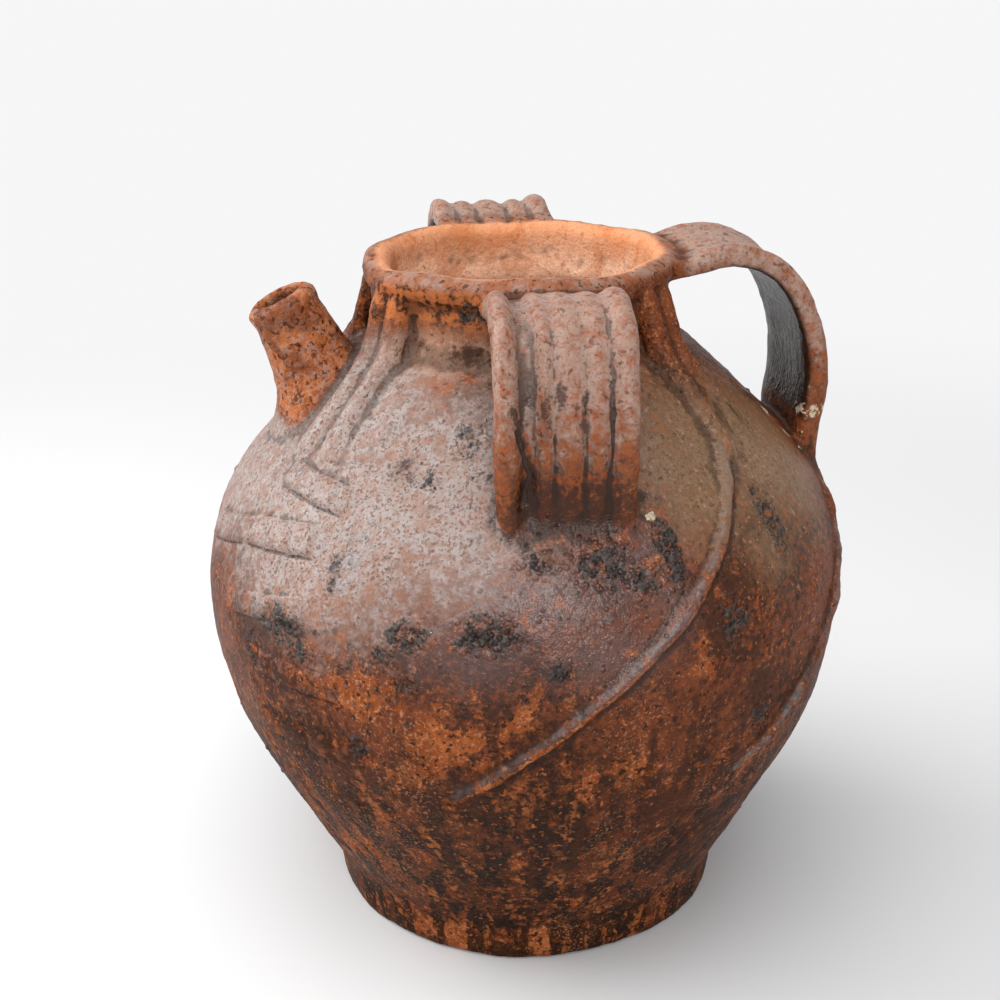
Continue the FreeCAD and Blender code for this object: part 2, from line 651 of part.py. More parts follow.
def bore_profile(sketch):
    """Straight bore from past the mouth of the spout to its root inside the hollow"""
    lean_with_spout(sketch)
    radius = size("bore_radius")
    low = -worth(SPOUT_DEPTH) - size("bore_past")
    high = size("spout_roll")
    floor = line(sketch, Vector(0, low, 0), Vector(radius, low, 0))
    side = line(sketch, Vector(radius, low, 0), Vector(radius, high, 0))
    top = line(sketch, Vector(radius, high, 0), Vector(0, high, 0))
    axis = line(sketch, Vector(0, high, 0), Vector(0, low, 0))
    loop = [floor, side, top, axis]
    for before, after in zip(loop, loop[1:] + loop[:1]):
        tie(sketch, "Coincident", before, END, after, START)
    tie(sketch, "Horizontal", floor)
    tie(sketch, "Horizontal", top)
    tie(sketch, "Vertical", side)
    tie(sketch, "PointOnObject", floor, START, UPRIGHT)
    tie(sketch, "PointOnObject", top, END, UPRIGHT)
    drive(sketch, "DistanceX", (floor, START, floor, END), "sizes.bore_radius")
    drive(sketch, "DistanceY", (floor, START, ACROSS, START), SPOUT_DEPTH + " + sizes.bore_past")
    drive(sketch, "DistanceY", (ACROSS, START, top, END), "sizes.spout_roll")


bore_profile(bore_sketch)
revolve_sketch(jug_body, "Groove", "bore", bore_sketch)

# Cordons: thin coils of clay laid on the wall and smoothed down, each a falling sweep


def cordon_shape(start_turn, high, drop):
    """Round coil half sunk in the wall, from above the belly to below it, its end fading away"""
    low = size("belly_height") - drop
    points = []
    for station in range(CORDON_STATIONS):
        share = station / (CORDON_STATIONS - 1)
        height = high + (low - high) * share
        turn = start_turn - (high - height) / size("cordon_pitch")
        fade = max(0, share - 1 + FADE_SHARE) / FADE_SHARE * size("cordon_fade")
        radius = outside_radius(height) - size("cordon_bed") - fade
        points.append(heading(turn) * radius + Vector(0, 0, height))
    curve = Part.BSplineCurve()
    curve.interpolate(points)
    spine = Part.Wire(curve.toShape())
    ring = Part.Circle(points[0], curve.tangent(curve.FirstParameter)[0], size("cordon_radius"))
    return spine.makePipeShell([Part.Wire(ring.toShape())], True, False)


side_cordon = (worth(NECK_ROOT) - size("cordon_start"), size("cordon_drop"))
rear_cordon = (worth(STRAP_START.format("rear")) + size("rear_cordon_start"), size("rear_cordon_drop"))
CORDONS = {
    "near_cordon": cordon_shape(-size("rear_strut_turn"), *side_cordon),
    "rear_cordon": cordon_shape(-size("rear_cordon_turn"), *rear_cordon),
    "far_cordon": cordon_shape(180 - size("front_strut_turn"), *side_cordon),
}
coils = []
for cordon, coil_shape in CORDONS.items():
    coil = doc.addObject("Part::Feature", cordon)
    coil.Shape = coil_shape
    coils.append(coil)

jug = doc.addObject("Part::MultiFuse", "jug")
jug.Label = "jug"
jug.Shapes = [jug_body] + coils
doc.recompute()


def check(item):
    if "Invalid" in item.State or "Error" in item.State:
        raise RuntimeError("failed: " + item.Name)


for item in doc.Objects:
    check(item)
shape = jug.Shape
if shape.isNull() or not shape.isValid() or len(shape.Solids) != 1:
    raise RuntimeError("the jug is not one valid solid")
os.makedirs("parts", exist_ok=True)
shape.exportStep("parts/%s.step" % jug.Label)
box = shape.BoundBox
print("volume", round(shape.Volume), "box", box)
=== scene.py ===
import math

import bpy
import numpy as np
from mathutils import Matrix, Vector


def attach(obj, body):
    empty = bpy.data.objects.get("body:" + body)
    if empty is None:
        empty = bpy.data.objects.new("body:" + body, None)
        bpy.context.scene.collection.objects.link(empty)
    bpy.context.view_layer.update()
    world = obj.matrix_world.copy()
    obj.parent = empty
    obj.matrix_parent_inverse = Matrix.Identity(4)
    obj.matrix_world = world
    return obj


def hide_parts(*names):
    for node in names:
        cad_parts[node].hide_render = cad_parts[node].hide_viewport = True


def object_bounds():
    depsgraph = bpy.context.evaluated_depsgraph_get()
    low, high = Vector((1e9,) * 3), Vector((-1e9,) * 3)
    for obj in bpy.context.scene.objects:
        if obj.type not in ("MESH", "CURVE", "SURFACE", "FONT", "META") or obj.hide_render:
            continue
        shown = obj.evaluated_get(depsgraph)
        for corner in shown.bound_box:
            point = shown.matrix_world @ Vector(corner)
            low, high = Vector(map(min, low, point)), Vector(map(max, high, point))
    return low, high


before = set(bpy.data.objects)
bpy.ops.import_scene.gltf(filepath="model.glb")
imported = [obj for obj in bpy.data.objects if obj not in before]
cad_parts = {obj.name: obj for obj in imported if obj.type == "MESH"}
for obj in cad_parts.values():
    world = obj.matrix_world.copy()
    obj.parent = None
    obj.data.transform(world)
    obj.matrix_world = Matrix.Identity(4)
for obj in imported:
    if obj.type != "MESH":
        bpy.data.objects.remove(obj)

cad_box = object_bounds()

# Thrown body
# The big hollow pot is thrown on a wheel in coarse orange clay, about 9 mm thick: a flat foot, a steep
# lower wall, a full belly, a shoulder drawn in to a short upright neck, and a lip rolled outward.
RIM_HEIGHT = 0.350
WALL = 0.0095
FLOOR = 0.012
FOOT_RADIUS = 0.1040
FOOT_EDGE = 0.003
FOOT_LEAN = math.radians(6.5)
WAIST_HEIGHT = 0.0205
LOWER_LEAN = math.radians(27.7)
BELLY_RADIUS = 0.1657
BELLY_HEIGHT = 0.180
LOWER_CURVE = 0.184
UPPER_CURVE = 0.107
SHOULDER_LEAN = math.radians(45)
NECK_RADIUS = 0.0745
NECK_ROOT = 0.3105
LIP_ROLL = 0.0072
HOLLOW_TOP = 0.375
RING_STEPS = 160


def wall_radius(height):
    """Radius of the outer wall at a height between the waist and the neck"""
    above = height - BELLY_HEIGHT
    curve = UPPER_CURVE if above > 0 else LOWER_CURVE
    lean = SHOULDER_LEAN if above > 0 else LOWER_LEAN
    reach = curve * math.sin(lean)
    if abs(above) <= reach:
        return BELLY_RADIUS - curve + math.sqrt(curve ** 2 - above ** 2)
    edge = BELLY_RADIUS - curve + curve * math.cos(lean)
    return edge - (abs(above) - reach) * math.tan(lean)


def arc_points(centre, radius, start, end, steps):
    """Points along an arc, angles in degrees from the outward level line"""
    turns = [math.radians(start + (end - start) * step / steps) for step in range(steps + 1)]
    return [(centre[0] + radius * math.cos(turn), centre[1] + radius * math.sin(turn)) for turn in turns]


def heights(low, high, steps):
    return [low + (high - low) * step / steps for step in range(steps + 1)]


def turn_on_wheel(name, outline):
    """Draw half an outline as (radius, height) points and spin it round the upright axis"""
    bpy.ops.object.select_all(action="DESELECT")
    bpy.ops.mesh.primitive_plane_add(size=0.01)
    piece = bpy.context.active_object
    piece.name = name
    bpy.ops.object.mode_set(mode="EDIT")
    bpy.ops.mesh.select_all(action="SELECT")
    bpy.ops.mesh.merge(type="CENTER")
    bpy.ops.transform.translate(value=(outline[0][0], 0, outline[0][1]))
    for before, after in zip(outline, outline[1:]):
        step = (after[0] - before[0], 0, after[1] - before[1])
        bpy.ops.mesh.extrude_region_move(TRANSFORM_OT_translate={"value": step})
    bpy.ops.mesh.select_all(action="SELECT")
    bpy.ops.mesh.spin(steps=RING_STEPS, angle=math.tau, center=(0, 0, 0), axis=(0, 0, 1))
    bpy.ops.mesh.select_all(action="SELECT")
    bpy.ops.mesh.remove_doubles(threshold=1e-5)
    bpy.ops.mesh.normals_make_consistent(inside=False)
    bpy.ops.object.mode_set(mode="OBJECT")
    return piece


lip_centre = (NECK_RADIUS - WALL + LIP_ROLL, RIM_HEIGHT - LIP_ROLL)
outside = [(0.0, 0.0)]
outside += arc_points((FOOT_RADIUS - FOOT_EDGE, FOOT_EDGE), FOOT_EDGE, -90, -8, 4)
outside += [(FOOT_RADIUS + level * math.tan(FOOT_LEAN), level) for level in heights(0.006, 0.016, 3)]
outside += [(wall_radius(level), level) for level in heights(WAIST_HEIGHT + 0.003, 0.300, 56)]
outside += arc_points((NECK_RADIUS + 0.012, NECK_ROOT + 0.006), 0.012, 225, 180, 3)
outside += arc_points(lip_centre, LIP_ROLL, -65, 180, 12)
inside = [(NECK_RADIUS - WALL, level) for level in heights(0.336, 0.322, 3)]
inside += [(wall_radius(level) - WALL * 1.35, level) for level in heights(0.306, 0.262, 8)]
inside += [(wall_radius(level) - WALL * 1.1, level) for level in heights(0.250, 0.050, 30)]
inside += [(0.100, 0.026), (0.090, 0.016), (0.075, FLOOR), (0.0, FLOOR)]
body = turn_on_wheel("thrown_body", outside + inside)
hollow = turn_on_wheel("hollow", [(0.0, HOLLOW_TOP), (NECK_RADIUS - WALL, HOLLOW_TOP)] + inside)


def corners_of(piece):
    """Corner places of a mesh as an array"""
    places = np.empty(len(piece.data.vertices) * 3)
    piece.data.vertices.foreach_get("co", places)
    return places.reshape(-1, 3)


def move_corners(piece, places):
    piece.data.vertices.foreach_set("co", places.ravel())
    piece.data.update()


def finish_modifier(piece, kind, **settings):
    """Add a modifier with its settings and apply it"""
    bpy.ops.object.select_all(action="DESELECT")
    piece.select_set(True)
    bpy.context.view_layer.objects.active = piece
    modifier = piece.modifiers.new(kind.lower(), kind)
    for setting, value in settings.items():
        setattr(modifier, setting, value)
    bpy.ops.object.modifier_apply(modifier=modifier.name)


def carve(piece, tool):
    """Cut the tool's volume out of a piece"""
    finish_modifier(piece, "BOOLEAN", operation="DIFFERENCE", object=tool, solver="EXACT")


# Tube spout
# A short tube turned by itself and luted onto the shoulder, leaning outward, with a rolled mouth. Its
# bore is pierced right through the wall of the pot.
SPOUT_REACH = 0.1212
SPOUT_TOP = 0.3325
SPOUT_LEAN = math.radians(24)
SPOUT_ROLL = 0.0058
BORE_RADIUS = 0.0115

spout_outline = [(0.0, -0.066), (0.040, -0.066), (0.0330, -0.058), (0.0268, -0.050), (0.0222, -0.041)]
spout_outline += [(0.0203, -0.032), (0.0187, -0.023), (0.0178, -0.015), (0.0173, -0.0105)]
spout_outline += arc_points((0.0124, -SPOUT_ROLL), SPOUT_ROLL, -20, 90, 6)
spout_outline += [(0.0, 0.0)]
spout = turn_on_wheel("spout", spout_outline)
bore = turn_on_wheel("bore", [(0.0, -0.074), (BORE_RADIUS, -0.074), (BORE_RADIUS, -0.012),
                              (BORE_RADIUS * 1.04, 0.010), (0.0, 0.010)])
spout_place = Matrix.Translation((-SPOUT_REACH, 0, SPOUT_TOP)) @ Matrix.Rotation(-SPOUT_LEAN, 4, "Y")
for piece in (spout, bore):
    piece.data.transform(spout_place)
carve(spout, hollow)


# Ribbed strap handles
# Flat straps pulled from wet clay, with the marks of four fingers drawn down them as ribs. Each springs
# from inside the lip, bends over and comes down on the shoulder, where its foot is thumbed down.
STRAP_THICK = 0.0115
STRAP_RISE = math.radians(12)
FOOT_CURVE = 0.060
FOOT_SET_IN = 0.011
SIDE_WIDTH = 0.0650
SIDE_BEND = (0.1408, 0.295, 0.030, 0.080, 0.246)
NEAR_SIDE, FAR_SIDE, REAR_SIDE = -91.5, 90, 0
REAR_WIDTH = 0.0645
REAR_BEND = (0.1540, 0.281, 0.042, 0.090, 0.224)


def handle_line(reach, widest, top_curve, back_curve, foot, rise):
    """Middle line of a strap as (reach, height) points, from the lip to inside the shoulder.

    It reaches furthest out at the widest height, and its top stands above the rim by the rise.
    """
    half = STRAP_THICK / 2
    foot_radius = wall_radius(foot) - FOOT_SET_IN
    back_centre = (reach - half - back_curve, widest)
    top_height = RIM_HEIGHT + rise - half - top_curve
    top_gap = math.sqrt((back_curve - top_curve) ** 2 - (top_height - widest) ** 2)
    top_centre = (back_centre[0] + top_gap, top_height)
    foot_x = foot_radius + FOOT_CURVE
    foot_gap = math.sqrt((back_curve + FOOT_CURVE) ** 2 - (foot_x - back_centre[0]) ** 2)
    foot_centre = (foot_x, widest - foot_gap)
    over = math.degrees(math.atan2(top_height - widest, top_gap))
    under = math.degrees(math.atan2(foot_gap, foot_x - back_centre[0]))
    start = 90 + math.degrees(STRAP_RISE)
    line = arc_points(top_centre, top_curve, start, over, 16)
    lip_x = NECK_RADIUS - WALL / 2
    line.insert(0, (lip_x, line[0][1] - (line[0][0] - lip_x) * math.tan(STRAP_RISE)))
    line += arc_points(back_centre, back_curve, over, -under, 16)[1:]
    line += arc_points(foot_centre, FOOT_CURVE, 180 - under, 180, 6)[1:]
    return line + [(foot_radius, foot)]


def line_length(line):
    return sum(math.dist(before, after) for before, after in zip(line, line[1:]))


def strap(name, line, width, ribs, azimuth, thick=STRAP_THICK, narrowing=0.06, shift=0.0):
    """A slab with ribs drawn down its face, bent along the line and turned to its side of the pot.

    Each rib is (middle, half width, rise), the first two as shares of half the strap's width.
    """
    length = line_length(line)
    bpy.ops.object.select_all(action="DESELECT")
    bpy.ops.mesh.primitive_grid_add(x_subdivisions=90, y_subdivisions=60, size=1, location=(0, 0, 0))
    piece = bpy.context.active_object
    piece.name = name
    bpy.ops.object.mode_set(mode="EDIT")
    bpy.ops.mesh.select_all(action="SELECT")
    bpy.ops.transform.resize(value=(length, width, 1), center_override=(0, 0, 0))
    bpy.ops.transform.translate(value=(length / 2, 0, 0))
    bpy.ops.mesh.extrude_region_move(TRANSFORM_OT_translate={"value": (0, 0, -thick)})
    bpy.ops.mesh.select_all(action="SELECT")
    bpy.ops.mesh.normals_make_consistent(inside=False)
    bpy.ops.object.mode_set(mode="OBJECT")
    places = corners_of(piece)
    along = places[:, 0] / length
    across = places[:, 1] / (width / 2)
    face = places[:, 2] > -thick / 2
    crown = np.zeros(len(places))
    for middle, half, rise in ribs:
        wave = 1 - ((across - middle) / half) ** 2
        crown = np.maximum(crown, rise * np.sqrt(np.clip(wave, 0, 1)))
    crown *= 0.60 + 0.40 * np.clip((along * length - 0.008) / 0.016, 0, 1)
    edge = np.sqrt(np.clip(1 - np.clip((np.abs(across) - 0.9) / 0.1, 0, 1) ** 2, 0, 1))
    top = (thick - 0.0045) * (0.35 + 0.65 * edge) + crown - thick / 2
    bottom = -thick / 2 + 0.0028 * (1 - edge)
    places[:, 2] = np.where(face, top, bottom)
    places[:, 1] *= 1 - narrowing * np.clip((along - 0.6) / 0.4, 0, 1) ** 1.5
    places[:, 1] += shift * (1 - along) ** 2
    move_corners(piece, places)
    drawn = bpy.data.curves.new(name + "_line", "CURVE")
    drawn.dimensions = "2D"
    spline = drawn.splines.new("POLY")
    spline.points.add(len(line) - 1)
    for point, (reach, height) in zip(spline.points, line):
        point.co = (reach, height, 0, 1)
    bend = bpy.data.objects.new(name + "_bend", drawn)
    bpy.context.scene.collection.objects.link(bend)
    piece.data.transform(Matrix.Rotation(-math.pi / 2, 4, "X"))
    finish_modifier(piece, "CURVE", object=bend, deform_axis="POS_X")
    bpy.data.objects.remove(bend)
    upright = Matrix.Rotation(math.pi / 2, 4, "X")
    piece.data.transform(Matrix.Rotation(math.radians(azimuth), 4, "Z") @ upright)
    return piece


NEAR_RIBS = ((-0.84, 0.17, 0.0062), (-0.31, 0.105, 0.0042), (0.02, 0.23, 0.0040), (0.40, 0.17, 0.0042),
             (0.80, 0.21, 0.0058))
FAR_RIBS = ((-0.82, 0.20, 0.0056), (-0.44, 0.17, 0.0038), (0.02, 0.25, 0.0044), (0.44, 0.18, 0.0044),
            (0.83, 0.20, 0.0060))
REAR_RIBS = ((-0.86, 0.15, 0.0054), (-0.50, 0.18, 0.0034), (-0.06, 0.25, 0.0036), (0.42, 0.22, 0.0036),
             (0.83, 0.19, 0.0052))
rear_line = handle_line(*REAR_BEND, 0.0022)
near_line = handle_line(*SIDE_BEND, 0.0)
far_line = handle_line(*SIDE_BEND, 0.0072)
rear_handle = strap("rear_handle", rear_line, REAR_WIDTH, REAR_RIBS, REAR_SIDE)
near_handle = strap("near_handle", near_line, SIDE_WIDTH, NEAR_RIBS, NEAR_SIDE, shift=0.003)
far_handle = strap("far_handle", far_line, SIDE_WIDTH, FAR_RIBS, FAR_SIDE)
for piece in (rear_handle, near_handle, far_handle):
    carve(piece, hollow)


# Struts
# Short straps pressed on under the lip and smeared out over the shoulder, one at each side of the spout
# and of the rear handle, each with two ridges left by the fingers.
STRUT_LINE = ((0.0735, 0.3445), (0.0775, 0.3340), (0.0800, 0.3215), (0.0840, 0.3095), (0.0932, 0.2975),
              (0.1035, 0.2864), (0.1128, 0.2752), (0.1220, 0.2645))
STRUT_RIBS = ((-0.52, 0.46, 0.0048), (0.52, 0.44, 0.0042))
STRUT_WIDTH = 0.027
STRUT_THICK = 0.0095
STRUTS = {"front_near": -154, "front_far": 155, "rear_near": -42, "rear_far": 42}
struts = []
for side, azimuth in STRUTS.items():
    strut = strap(side + "_strut", STRUT_LINE, STRUT_WIDTH, STRUT_RIBS, azimuth, thick=STRUT_THICK,
                  narrowing=-0.35)
    carve(strut, hollow)
    struts.append(strut)


# Cordons
# Thin coils of clay rolled between the hands, laid on the wall in a falling sweep and smoothed down, so
# that each fades into the wall at its lower end. Each row is (azimuth, height at the top and at the
# bottom, swerve in degrees).
CORDON_THICK = 0.0035
CORDON_SINK = 0.0042
CORDON_FALL = math.radians(1 / 0.0023)
CORDONS = {
    "near_cordon": (-42, 0.2870, 0.108, 0.0),
    "rear_cordon": (-8, 0.2360, 0.111, 2.0),
    "far_cordon": (154, 0.2900, 0.108, 0.0),
}


def on_wall(azimuth, height, proud=0.0):
    """Place on the outer wall, with the azimuth in radians"""
    radius = wall_radius(height) + proud
    return Vector((radius * math.cos(azimuth), radius * math.sin(azimuth), height))


def rope(name, points, radii):
    """A round coil of clay along a line of points"""
    drawn = bpy.data.curves.new(name, "CURVE")
    drawn.dimensions = "3D"
    drawn.bevel_depth = 1.0
    drawn.bevel_resolution = 3
    drawn.use_fill_caps = True
    spline = drawn.splines.new("POLY")
    spline.points.add(len(points) - 1)
    for point, place, radius in zip(spline.points, points, radii):
        point.co = (*place, 1)
        point.radius = radius
    piece = bpy.data.objects.new(name, drawn)
    bpy.context.scene.collection.objects.link(piece)
    bpy.ops.object.select_all(action="DESELECT")
    piece.select_set(True)
    bpy.context.view_layer.objects.active = piece
    bpy.ops.object.convert(target="MESH")
    return bpy.context.active_object


cordons = []
for name, (start, high, low, swerve) in CORDONS.items():
    shares = heights(0, 1, 70)
    sweep = [on_wall(math.radians(start - swerve * share) + (low - high) * share * CORDON_FALL,
                     high + (low - high) * share, 0.0002 - CORDON_SINK * max(0, share - 0.82) / 0.18)
             for share in shares]
    wander = [0.90 + 0.14 * math.sin(19 * share) + 0.13 * math.sin(47 * share + 1) for share in shares]
    cordons.append(rope(name, sweep, [CORDON_THICK * width for width in wander]))


# One fired piece
# Everything above is joined while the clay is wet and fired as one, so the parts are fused into a single
# skin and worked over: wobble of the wheel, softened joins, grit, beads of slag and flakes.
SKIN_GRAIN = 0.0014
THUMB_ROUNDS = 26
MOST_TRIANGLES = 190000

carve(body, bore)
carve(spout, bore)
clay_parts = [body, spout, rear_handle, near_handle, far_handle] + struts + cordons
for tool in (hollow, bore):
    bpy.data.objects.remove(tool)
bpy.ops.object.select_all(action="DESELECT")
for piece in clay_parts:
    piece.select_set(True)
bpy.context.view_layer.objects.active = body
bpy.ops.object.join()
jug = bpy.context.active_object
jug.name = "fired_jug"
finish_modifier(jug, "REMESH", mode="VOXEL", voxel_size=SKIN_GRAIN, adaptivity=0.0)
finish_modifier(jug, "SMOOTH", factor=0.5, iterations=3)


def smooth_step(values, low, high):
    share = np.clip((values - low) / (high - low), 0, 1)
    return share * share * (3 - 2 * share)


def polar(places):
    """Azimuth in degrees, distance from the axis, and how far each place stands out of the thrown wall"""
    radius = np.hypot(places[:, 0], places[:, 1])
    levels = [level for _, level in outside[1:-6]]
    proud = radius - np.interp(places[:, 2], levels, [reach for reach, _ in outside[1:-6]])
    return np.degrees(np.arctan2(places[:, 1], places[:, 0])), radius, proud


def turn_between(azimuth, other):
    """Turn from one azimuth to another, from -180 to 180 degrees"""
    return (azimuth - other + 180) % 360 - 180


def spots(places, table):
    """How much rows of (azimuth, height, half width, half height, strength) cover each place"""
    azimuth, radius, _ = polar(places)
    cover = np.zeros(len(places))
    for turn, height, wide, tall, strength in table:
        across = np.radians(turn_between(azimuth, turn)) * radius / wide
        up = (places[:, 2] - height) / tall
        cover = np.maximum(cover, strength * np.exp(-across ** 2 - up ** 2))
    return cover


def normals_of(piece):
    ways = np.empty(len(piece.data.vertices) * 3)
    piece.data.vertices.foreach_get("normal", ways)
    return ways.reshape(-1, 3)


def soften(piece, places, weight, rounds):
    """Draw each place toward its neighbours, as a wet thumb does"""
    pairs = np.empty(len(piece.data.edges) * 2, dtype=np.int64)
    piece.data.edges.foreach_get("vertices", pairs)
    near, far = pairs[0::2], pairs[1::2]
    count = len(places)
    links = np.bincount(near, minlength=count) + np.bincount(far, minlength=count)
    places = places.copy()
    for _ in range(rounds):
        for axis in range(3):
            line = places[:, axis]
            total = np.bincount(near, line[far], count) + np.bincount(far, line[near], count)
            line += (total / np.maximum(links, 1) - line) * weight * 0.5
    return places


# The feet of handles, struts and spout are thumbed into the wall, and the handles' roots into the lip, so
# the skin is softened there. Rows are (azimuth, height, half width, half height, strength)
THUMBED = (
    (-90, 0.252, 0.048, 0.014, 1.0), (90, 0.252, 0.045, 0.014, 1.0), (0, 0.232, 0.045, 0.014, 1.0),
    (-154, 0.262, 0.022, 0.018, 1.0), (155, 0.262, 0.022, 0.018, 1.0), (-42, 0.262, 0.022, 0.018, 1.0),
    (42, 0.262, 0.022, 0.018, 1.0), (180, 0.290, 0.040, 0.016, 0.8), (-91, 0.3490, 0.038, 0.0040, 0.4),
    (90, 0.3510, 0.036, 0.0040, 0.3), (0, 0.3500, 0.036, 0.0040, 0.4),
)
places = corners_of(jug)
move_corners(jug, soften(jug, places, np.clip(spots(places, THUMBED) * 1.3, 0, 1), THUMB_ROUNDS))

# Low tablets of clay smeared on by finger under the spout: (from, to, height at each, tall, proud)
TABLETS = (
    (-158, -134, 0.2590, 0.2560, 0.0095, 0.0021), (-178, -158, 0.2180, 0.2330, 0.0120, 0.0018),
    (-159, -137, 0.2330, 0.2405, 0.0125, 0.0022), (-162, -137, 0.1960, 0.2120, 0.0110, 0.0016),
    (-150, -127, 0.1760, 0.1780, 0.0120, 0.0019), (-154, -129, 0.1420, 0.1440, 0.0120, 0.0019),
)
FINGER_STEP = 6.5
# Lines are (azimuth, height) at both ends, half width and strength. The scratches are pulled through the
# wet clay, and the slit is a fold down the near handle's edge
SCRATCHES = (
    (-123, 0.124, -113, 0.146, 0.0012, 0.0007), (-141, 0.181, -128, 0.1835, 0.0011, 0.0006),
    (-137, 0.1875, -128, 0.1885, 0.0010, 0.0005), (-100, 0.119, -96, 0.135, 0.0010, 0.0005),
)
SLIT = ((-101.4, 0.3080, -98.6, 0.2780, 0.0011, 0.0016), (-98.6, 0.2780, -100.2, 0.2640, 0.0011, 0.0016))
# Places where slag, ash and burst glaze stick on in black scabs
SCABS = (
    (-119, 0.209, 0.012, 0.009, 1.0), (-106, 0.2125, 0.018, 0.011, 1.05), (-123, 0.200, 0.009, 0.006, 0.9),
    (-144, 0.201, 0.015, 0.011, 1.0), (-139, 0.192, 0.012, 0.008, 0.9), (-86, 0.239, 0.019, 0.014, 0.9),
    (-80, 0.232, 0.012, 0.010, 0.85), (-98, 0.241, 0.014, 0.009, 0.75), (-74, 0.240, 0.008, 0.020, 0.95),
    (-128, 0.148, 0.008, 0.012, 0.9), (-94.6, 0.196, 0.008, 0.006, 1.0), (-64, 0.206, 0.011, 0.015, 0.9),
    (-48, 0.239, 0.010, 0.022, 0.85), (-134, 0.229, 0.006, 0.018, 0.7), (-113, 0.283, 0.010, 0.010, 0.7),
    (-120, 0.268, 0.008, 0.006, 0.7), (-119, 0.187, 0.010, 0.006, 0.75), (-152, 0.181, 0.010, 0.012, 0.85),
    (-115, 0.334, 0.012, 0.007, 1.0), (-100, 0.329, 0.012, 0.006, 0.9), (-57, 0.150, 0.010, 0.018, 0.8),
    (70, 0.205, 0.014, 0.010, 0.9), (128, 0.190, 0.012, 0.012, 0.9), (25, 0.235, 0.012, 0.010, 0.85),
    (160, 0.150, 0.012, 0.010, 0.8), (104, 0.238, 0.015, 0.009, 0.8), (-20, 0.180, 0.012, 0.014, 0.85),
)
BEADS = 300


def tablets(places):
    """Relief of the smeared tablets, and the fine crack under each: flat faces in finger steps"""
    azimuth, _, _ = polar(places)
    relief = np.zeros(len(places))
    cracks = np.zeros(len(places))
    for start, end, first, last, tall, proud in TABLETS:
        share = (azimuth - start) / (end - start)
        level = (places[:, 2] - first - (last - first) * share) / (tall / 2)
        ends = smooth_step(share, 0, 0.05) * (1 - smooth_step(share, 0.78, 1))
        face = smooth_step(level, -1.12, -0.88) * (1 - smooth_step(level, 0.75, 1.10))
        step = 1 - 0.6 * np.exp(-(((azimuth / FINGER_STEP) % 1 - 0.5) / 0.09) ** 2)
        crack = ends * np.exp(-((level + 1.2) / 0.13) ** 2)
        relief += proud * (ends * face * step - 0.3 * crack)
        cracks = np.maximum(cracks, crack)
    return relief, cracks


def lines(places, table):
    """How much rows of (azimuth, height, azimuth, height, half width, strength) cover each place"""
    azimuth, radius, _ = polar(places)
    cover = np.zeros(len(places))
    for start, low, end, high, wide, strength in table:
        across = np.radians(turn_between(azimuth, start)) * radius
        run = np.radians(end - start) * radius
        rise = places[:, 2] - low
        share = np.clip((across * run + rise * (high - low)) / (run ** 2 + (high - low) ** 2), 0, 1)
        gap = np.hypot(across - share * run, rise - share * (high - low))
        cover = np.maximum(cover, strength * np.exp(-(gap / wide) ** 2))
    return cover


def bead_relief(places):
    """Small warts of slag, thickest about the scabs and thinly strewn over the rest of the shoulder"""
    toss = np.random.default_rng(11)
    relief = np.zeros(len(places))
    for number in range(BEADS):
        if number % 2:
            turn, height, wide, tall, _ = SCABS[toss.integers(len(SCABS))]
            turn += np.degrees(toss.normal() * wide * 1.6 / 0.15)
            height += toss.normal() * tall * 1.6
        else:
            turn, height = toss.uniform(-180, 180), toss.uniform(0.06, 0.285)
        size = toss.uniform(0.0011, 0.0024)
        near = np.array(on_wall(math.radians(turn), height))
        gap = np.square(places - near).sum(axis=1)
        relief = np.maximum(relief, toss.uniform(0.3, 0.65) * size * np.exp(-gap / (0.8 * size ** 2)))
    return relief


places = corners_of(jug)
azimuth, radius, proud = polar(places)
wall_face = smooth_step(proud, -0.006, -0.004) * (1 - smooth_step(proud, 0.003, 0.006))
relief = (tablets(places)[0] - lines(places, SCRATCHES) + bead_relief(places)) * wall_face
relief -= lines(places, SLIT) * smooth_step(proud, 0.006, 0.009)
move_corners(jug, places + normals_of(jug) * relief[:, None])


def lumps(name, size, depth, **settings):
    """Push the skin in and out by a cloud pattern of the given grain and height"""
    clouds = bpy.data.textures.new(name, "CLOUDS")
    clouds.noise_scale = size
    clouds.noise_depth = depth
    finish_modifier(jug, "DISPLACE", texture=clouds, texture_coords="LOCAL", mid_level=0.5, **settings)


places = corners_of(jug)
azimuth, radius, _ = polar(places)
near_rim = smooth_step(places[:, 2], 0.325, 0.345) * (1 - smooth_step(radius, 0.085, 0.105))
waver = 0.0010 * np.sin(np.radians(3 * azimuth + 40)) + 0.0008 * np.sin(np.radians(7 * azimuth))
places[:, 2] += near_rim * waver
places[:, :2] *= 1 + (near_rim * 0.010 * np.sin(np.radians(5 * azimuth + 110)))[:, None]
move_corners(jug, places)
lumps("wheel_wobble", 0.085, 1, strength=0.0022)
lumps("hand_marks", 0.022, 2, strength=0.0013)
lumps("grit", 0.0045, 2, strength=0.0007)

# The crusts of slag are rough lumps, raised only where the scabs lie
crust = jug.vertex_groups.new(name="crust")
places = corners_of(jug)
_, _, proud = polar(places)
on_face = smooth_step(proud, -0.006, -0.004) * (1 - smooth_step(proud, 0.004, 0.007))
weights = smooth_step(spots(places, SCABS) * on_face, 0.30, 0.80)
for number in np.flatnonzero(weights > 0.02):
    crust.add([int(number)], float(weights[number]), "REPLACE")
lumps("slag", 0.0038, 1, strength=0.0034, vertex_group="crust")
jug.vertex_groups.clear()

